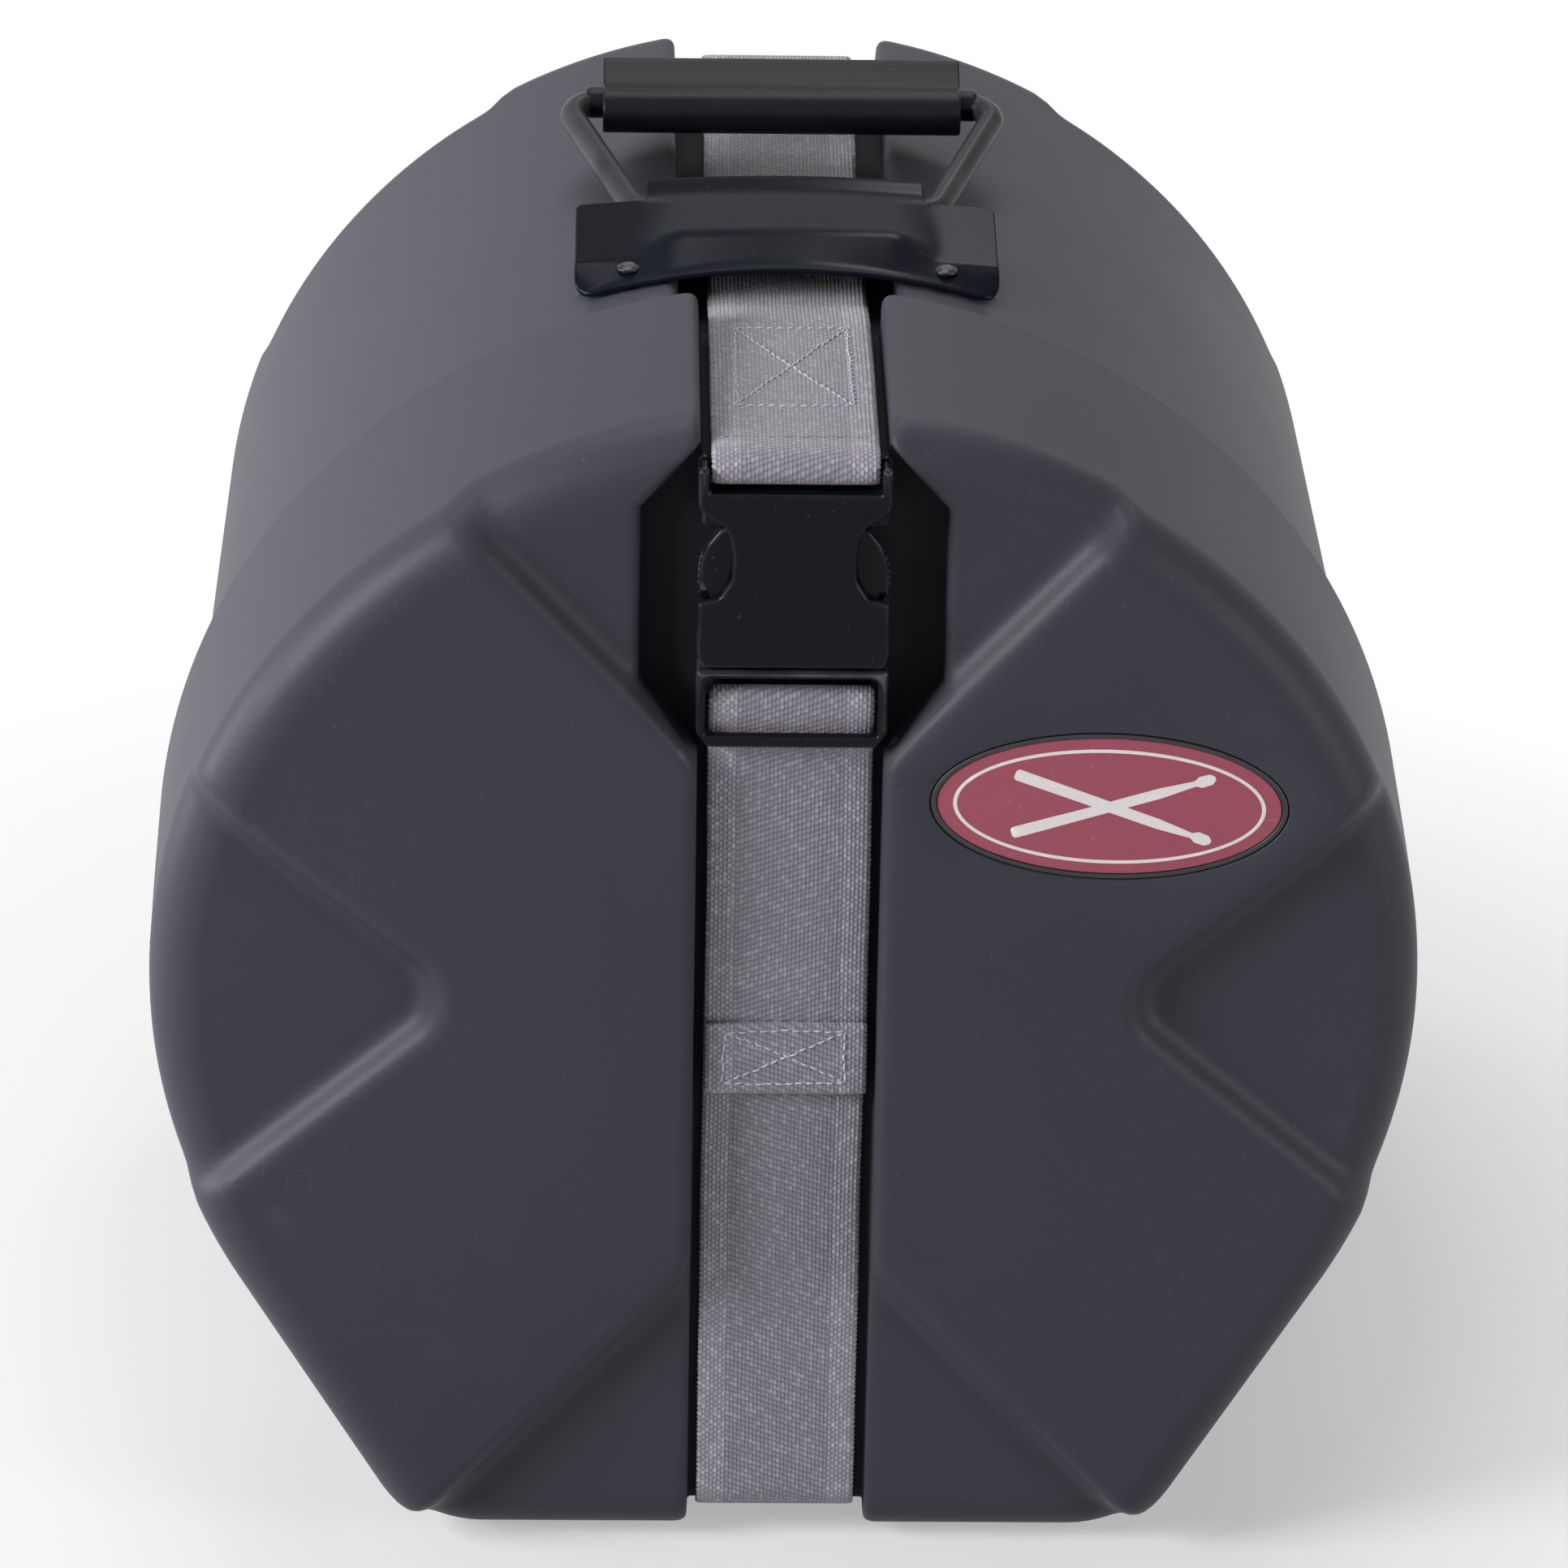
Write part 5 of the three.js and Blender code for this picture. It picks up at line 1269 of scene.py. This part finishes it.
front_edge = [
    (x, PLATE_FRONT + 3.0 * (x / PLATE_HALF) ** 2, 7 if abs(x) == PLATE_HALF else 20)
    for x in (-PLATE_HALF, -40.0, -14.0, 14.0, 40.0, PLATE_HALF)
]
rear = [(PLATE_HALF, WING_BACK, 2.5), (TAIL_HALF, WING_BACK, 2), (TAIL_HALF, PLATE_BACK, 3)]
blank = rounded_corners(front_edge + rear + mirrored(rear), step=1.2)
edge_points = []
for a, b in zip(blank, np.roll(blank, -1, axis=0)):
    count = max(int(np.linalg.norm(b - a) / 1.5), 1)
    edge_points += [a + (b - a) * t for t in np.arange(count) / count]
plate = rounded_slab("plate_pressing", [np.array(edge_points)], (SEAT_CLEAR, SEAT_CLEAR + PLATE_SHEET),
                     (0.4, 0.9), lambda a, b, level: (a, b, level), shape=plate_shape, grid=1.6)
fit_out([plate], coated_steel, "case_body", "handle_plate")

# %% [markdown]
# The exact slope of the pressed form gives the shading, so a grid of 1.6 mm is fine enough.
#
# The bail is a bent rod. Its path has true arcs at the bends, and a round section is carried along
# it. The grip is a long moulding with one section all along: a round barrel, a shallow groove, and
# a thin lip that runs along its upper back edge. Short collars sit where it meets the rod.

# %% Bail
BAIL_PIVOT, GRIP_SPOT = np.array((194.0, 190.4)), np.array((263.2, 200.2))
arm = GRIP_SPOT - BAIL_PIVOT
reach, tilt = math.hypot(*arm), math.atan2(arm[1], arm[0])
BAIL_RADIUS, BAIL_SIDES, BAIL_EASE = 4.2, 20, 0.8

end, foot, top = (34, 0), (48, 0), (72, reach)
path = np.array([end, *corner_arc(end, foot, top, 6.0, 12), *corner_arc(foot, top, (0, reach), 9.5, 12)])
path = np.vstack([path, path[::-1] * [-1, 1]])
heading = unit(np.gradient(path, axis=0))
order = [0, *range(len(path)), len(path) - 1]
spots, radii = path[order], np.full(len(order), BAIL_RADIUS)
spots[1] += heading[0] * BAIL_EASE
spots[-2] -= heading[-1] * BAIL_EASE
radii[[0, -1]] -= BAIL_EASE
points = []
for spot, (along_x, along_out), radius in zip(spots, heading[order], radii):
    for k in range(BAIL_SIDES):
        a = 2 * math.pi * k / BAIL_SIDES
        x, out = spot + np.array([along_out, -along_x]) * radius * math.cos(a)
        lift = radius * math.sin(a)
        points.append((x, BAIL_PIVOT[0] + out * math.cos(tilt) - lift * math.sin(tilt),
                       BAIL_PIVOT[1] + out * math.sin(tilt) + lift * math.cos(tilt)))
faces = [(a, a + BAIL_SIDES, b + BAIL_SIDES, b) for a, b in neighbours(len(order), BAIL_SIDES)]
last = len(points) - 1
faces += [tuple(range(BAIL_SIDES)), tuple(range(last, last - BAIL_SIDES, -1))]
fit_out([make_object("bail_rod", points, faces)], bail_steel, "handle", "handle_bail")

# %% Turned pieces
TURNED_SIDES = 32


def turned(name, profile, place):
    """A body of revolution from (radius, along) points."""
    points = []
    for r, along in profile:
        for k in range(TURNED_SIDES):
            a = 2 * math.pi * k / TURNED_SIDES
            points.append(place(r * math.cos(a), r * math.sin(a), along))
    pairs = neighbours(len(profile), TURNED_SIDES)
    return make_object(name, points, [(a, b, b + TURNED_SIDES, a + TURNED_SIDES) for a, b in pairs])


def soft_profile(corners):
    """Rounds each (radius, along, round) corner of an open profile with a small arc."""
    points = [corners[0][:2]]
    for before, here, after in zip(corners[:-2], corners[1:-1], corners[2:]):
        points += corner_arc(before[:2], here[:2], after[:2], here[2], 6)
    return points + [corners[-1][:2]]


barrel = arc_points((-2.0, -1.8), (7.5, 7.5), 96, 376, 60)
lip = [(7.2, 1.6), (9.2, 4.4), (11.2, 7.4), (12.6, 9.2), (13.1, 10.0), (12.9, 10.7), (12.3, 10.9),
       (11.6, 10.7), (10.4, 10.0), (8.5, 8.95), (6.0, 7.7), (3.9, 6.65), (2.3, 5.95), (0.9, 5.62),
       (-0.7, 5.62)]
grip = rounded_slab("grip_moulding", [np.array(barrel + lip)], (-58.6, 58.6), (0.9, 0.9),
                    lambda a, b, level: (level, GRIP_SPOT[0] + a, GRIP_SPOT[1] + b))
collar = soft_profile([
    (4.3, 57.5, 0), (5.2, 57.5, 0.1), (5.2, 62.8, 0.6), (4.6, 63.8, 0.3), (4.25, 64.0, 0),
])
collars = [
    turned(f"grip_collar_{side}", collar[::sign],
           lambda a, b, along: (sign * along, GRIP_SPOT[0] + a, GRIP_SPOT[1] + b))
    for side, sign in SIDES
]
fit_out([grip], grip_rubber, "handle", "handle_grip")
fit_out(collars, grip_rubber, "handle")

RIVET_SPOTS = {"front_left": (-50, 150.5), "front_right": (50, 150.5),
               "back_left": (-39, 208.6), "back_right": (39, 208.6)}
HEAD_FOOT = 2.4  # how far the drawn head reaches down past the sheet's top
rivet_profile = soft_profile([
    (0.01, 164.0, 0), (3.0, 164.0, 0.4), (3.4, 165.0, 0.2), (2.3, 165.3, 0.1), (2.3, 187.2, 0.1),
    (3.7, 187.4, 0.2), (3.6, 188.2, 0.5), (2.0, 189.0, 1.2), (0.01, 189.1, 0),
])
washer = soft_profile([(2.5, 165.0, 0), (5.9, 165.0, 0.3), (5.9, 165.9, 0.3), (2.5, 165.9, 0)])
for label, (x, v) in RIVET_SPOTS.items():
    lift = float(plate_shape(np.array([x]), np.array([v]))[0]) + PLATE_SHEET - HEAD_FOOT
    rivet = [(r, along + (lift if along > 170 else 0)) for r, along in rivet_profile]
    for kind, profile in (("rivet", rivet), ("washer", washer)):
        piece = turned(f"{kind}_{label}_turned", profile, lambda a, b, along: (x + a, v + b, along))
        fit_out([piece], rivet_steel, "case_body", f"{kind}_{label}")
print("handle reach", round(reach, 1), "mm")

# %% [markdown]
# ## The badge
#
# An oval badge is glued into a shallow seat on the lid. It is a domed plastic oval in dull red
# with a dark rubber rim. A thin pale line runs inside the edge, and a pair of crossed drumsticks
# fills the middle. The line and the sticks are thin raised prints, each a slab of its own.

# %% Badge pieces
def badge_slab(name, loops, levels, rounds, paint, shape=None, replaced=None):
    def place(a, b, level):
        x, z = badge_spot(a, b)
        return x, level, z

    piece = rounded_slab(name, loops, levels, rounds, place, shape)
    fit_out([piece], paint, "lid", replaced)


def oval(half_a, half_b):
    t = np.linspace(0, 2 * math.pi, 97)[:-1]
    return np.stack([half_a * np.cos(t), half_b * np.sin(t)], 1)


def dome(a, b):
    """The badge's face swells a little towards its middle."""
    return 0.35 * np.minimum((a / 54.0) ** 2 + (b / 24.2) ** 2, 1.0)


PRINT_ROUND = (0.03, 0.03)
rim_loops = [oval(54.4, 24.5), oval(52.7, 23.0)[::-1]]
ring_loops = [oval(47.6, 19.3), oval(46.4, 18.2)[::-1]]
badge_slab("badge_oval", [oval(52.6, 22.9)], (0.1, 1.7), (0.5, 0.1), badge_red, dome, "badge")
badge_slab("badge_rim", rim_loops, (0.05, 1.9), (0.45, 0.1), badge_rubber)
badge_slab("badge_ring", ring_loops, (0.02, 0.5), PRINT_ROUND, badge_line, dome)
lower_edge = [(-31, -1.9, 1.2), (16, -1.7, 4), (27, -0.9, 1), (28.6, -1.9, 1.2), (32, -1.8, 1.4)]
upper_edge = [(a, -b, r) for a, b, r in lower_edge[::-1]]
stick = rounded_corners([*lower_edge, (34, 0, 1.2), *upper_edge], step=0.5)
for label, lean, near in (("a", math.radians(19), 0.03), ("b", -math.radians(19), 0.0)):
    c, s = math.cos(lean), math.sin(lean)
    leaned = np.stack([stick[:, 0] * c - stick[:, 1] * s, stick[:, 0] * s + stick[:, 1] * c], 1)
    badge_slab(f"badge_stick_{label}", [leaned], (near, 0.6), PRINT_ROUND, badge_line, dome)

# %% [markdown]
# ## The foam
#
# Inside, grey foam pads hold the drum: a disc in the lid, one against the back, and strips round
# the sides and on the floor. Cut foam has soft corners and an uneven skin. Each pad is a copy of
# the engineering model's solid, rebuilt as small even cells, shrunk a hair, and relaxed, so that
# its corners round off; a low noise then makes its faces swell and dip a little.

# %% Pads
CELL, SHRINK, SWELL_HEIGHT = 0.004, 0.0002, 0.00012
WAVES = ((0, 61, 47, 0.3), (1, 83, 39, 1.9), (2, 53, 71, 4.0))
PADS = ["lid_pad", "base_pad", "side_pad_right", "side_pad_left", "floor_pad_right", "floor_pad_left"]
for source in PADS:
    pad = place_object(source + "_foam", bpy.data.objects[source].data.copy())
    remesh = pad.modifiers.new("cells", "REMESH")
    remesh.mode, remesh.voxel_size, remesh.use_smooth_shade = "VOXEL", CELL, True
    relax = pad.modifiers.new("relax", "SMOOTH")
    relax.factor, relax.iterations = 0.5, 4
    evaluated = pad.evaluated_get(bpy.context.evaluated_depsgraph_get())
    final = bpy.data.meshes.new_from_object(evaluated)
    pad.modifiers.clear()
    pad.data = final
    spots, facing = np.zeros((2, len(final.vertices) * 3))
    final.vertices.foreach_get("co", spots)
    final.vertices.foreach_get("normal", facing)
    spots, facing = spots.reshape(-1, 3), facing.reshape(-1, 3)
    swell = sum(np.sin(spots[:, i] * f + p) * np.cos(spots[:, (i + 1) % 3] * g) for i, f, g, p in WAVES)
    spots += facing * (SWELL_HEIGHT * swell - SHRINK)[:, None]
    final.vertices.foreach_set("co", spots.ravel())
    final.update()
    fit_out([pad], foam_grey, "lid" if source == "lid_pad" else "case_body", source)
    print(source, "cells", len(final.vertices))

# %% [markdown]
# ## Camera, light and ground
#
# The photograph was taken from some distance with a long lens, a little from the left and above.
# The camera's place and turn come from fitting the case's known corners. The object stands on a
# pale floor in front of a pale wall. The floor is lit as any surface, so that it holds the soft
# shadow, and its far part and the world show plain white to the camera and to reflections.

# %% Camera
PITCH, YAW, ROLL = math.radians(26.555), math.radians(1.55), math.radians(1.117)
FOCAL, PHOTO_WIDTH = 8958.7, 1932  # in the photograph's pixels
forward = Vector((math.sin(YAW) * math.cos(PITCH), math.cos(YAW) * math.cos(PITCH), -math.sin(PITCH)))
right = Vector((math.cos(YAW), -math.sin(YAW), 0.0))
up = right.cross(forward)
cos, sin = math.cos(ROLL), math.sin(ROLL)
axes = (cos * right + sin * up, -sin * right + cos * up, -forward)
camera = place_object("camera", bpy.data.cameras.new("camera"))
camera.matrix_world = Matrix.Translation((-0.0552, -2.1552, 1.2616)) @ Matrix(axes).transposed().to_4x4()
camera.data.sensor_width = 36.0
camera.data.lens = FOCAL / PHOTO_WIDTH * 36.0
camera.data.clip_start, camera.data.clip_end = 0.1, 50.0
bpy.context.scene.camera = camera
print("camera lens", round(camera.data.lens, 2))

# %% Floor
def seen_directly(tree):
    """1 for rays from the camera or a reflection, 0 for light that bounces about."""
    rays = node(tree, "LightPath")
    seen = maths("MAXIMUM", rays["Is Camera Ray"], rays["Is Glossy Ray"])
    return maths("MAXIMUM", seen, rays["Is Transmission Ray"])


floor_mesh = bpy.data.meshes.new("floor")
floor_edit = bmesh.new()
bmesh.ops.create_grid(floor_edit, x_segments=24, y_segments=24, size=4.0)
floor_edit.to_mesh(floor_mesh)
floor_edit.free()
floor = place_object("floor", floor_mesh)
floor.location = (0, 0, -0.0004)
floor_paint, tree, shader = new_material("pale_floor")
feed(shader["Base Color"], (0.6, 0.6, 0.61, 1))
feed(shader["Roughness"], 0.8)
far = vector_maths("LENGTH", node(tree, "TexCoord")["Object"])["Value"]
white_mix = node(tree, "MixShader", {
    0: maths("MULTIPLY", seen_directly(tree), ramp(far, 0.22, 0.52, 0.4, 1.0)),
    1: tree.nodes["Principled BSDF"].outputs["BSDF"],
    2: node(tree, "Emission")["Emission"],
})
feed(tree.nodes["Material Output"].inputs["Surface"], white_mix["Shader"])
floor_mesh.materials.append(floor_paint)

# %% World
world = bpy.data.worlds.new("studio")
bpy.context.scene.world = world
world.use_nodes = True
tree = world.node_tree
background = tree.nodes["Background"].inputs
background["Color"].default_value = (1, 1, 1, 1)
glow = maths("MULTIPLY", seen_directly(tree), 0.92)
feed(background["Strength"], maths("ADD", 0.08, glow))

# %% Lamps
MIDDLE = (0.0, 0.0, 0.2)
for name, spot, target, size, watts in (
    ("left_window", (-2.0, -0.95, 1.25), MIDDLE, (0.9, 0.9), 84),
    ("left_low", (-2.2, 0.3, 0.35), MIDDLE, (0.7, 0.7), 26),
    ("right_side", (1.9, -1.1, 0.7), MIDDLE, (0.7, 0.9), 21),
    ("overhead", (-0.2, 0.45, 2.1), MIDDLE, (1.1, 0.8), 15),
    ("glint_behind", (0.45, 1.55, 2.15), (0.0, 0.0, 0.38), (0.5, 0.5), 7),
):
    lamp = place_object(name, bpy.data.lights.new(name, "AREA"))
    lamp.data.shape, lamp.data.energy = "RECTANGLE", watts
    lamp.data.size, lamp.data.size_y = size
    lamp.location = spot
    lamp.rotation_euler = (Vector(target) - Vector(spot)).to_track_quat("-Z", "Y").to_euler()
bpy.context.scene.view_settings.view_transform = "Standard"
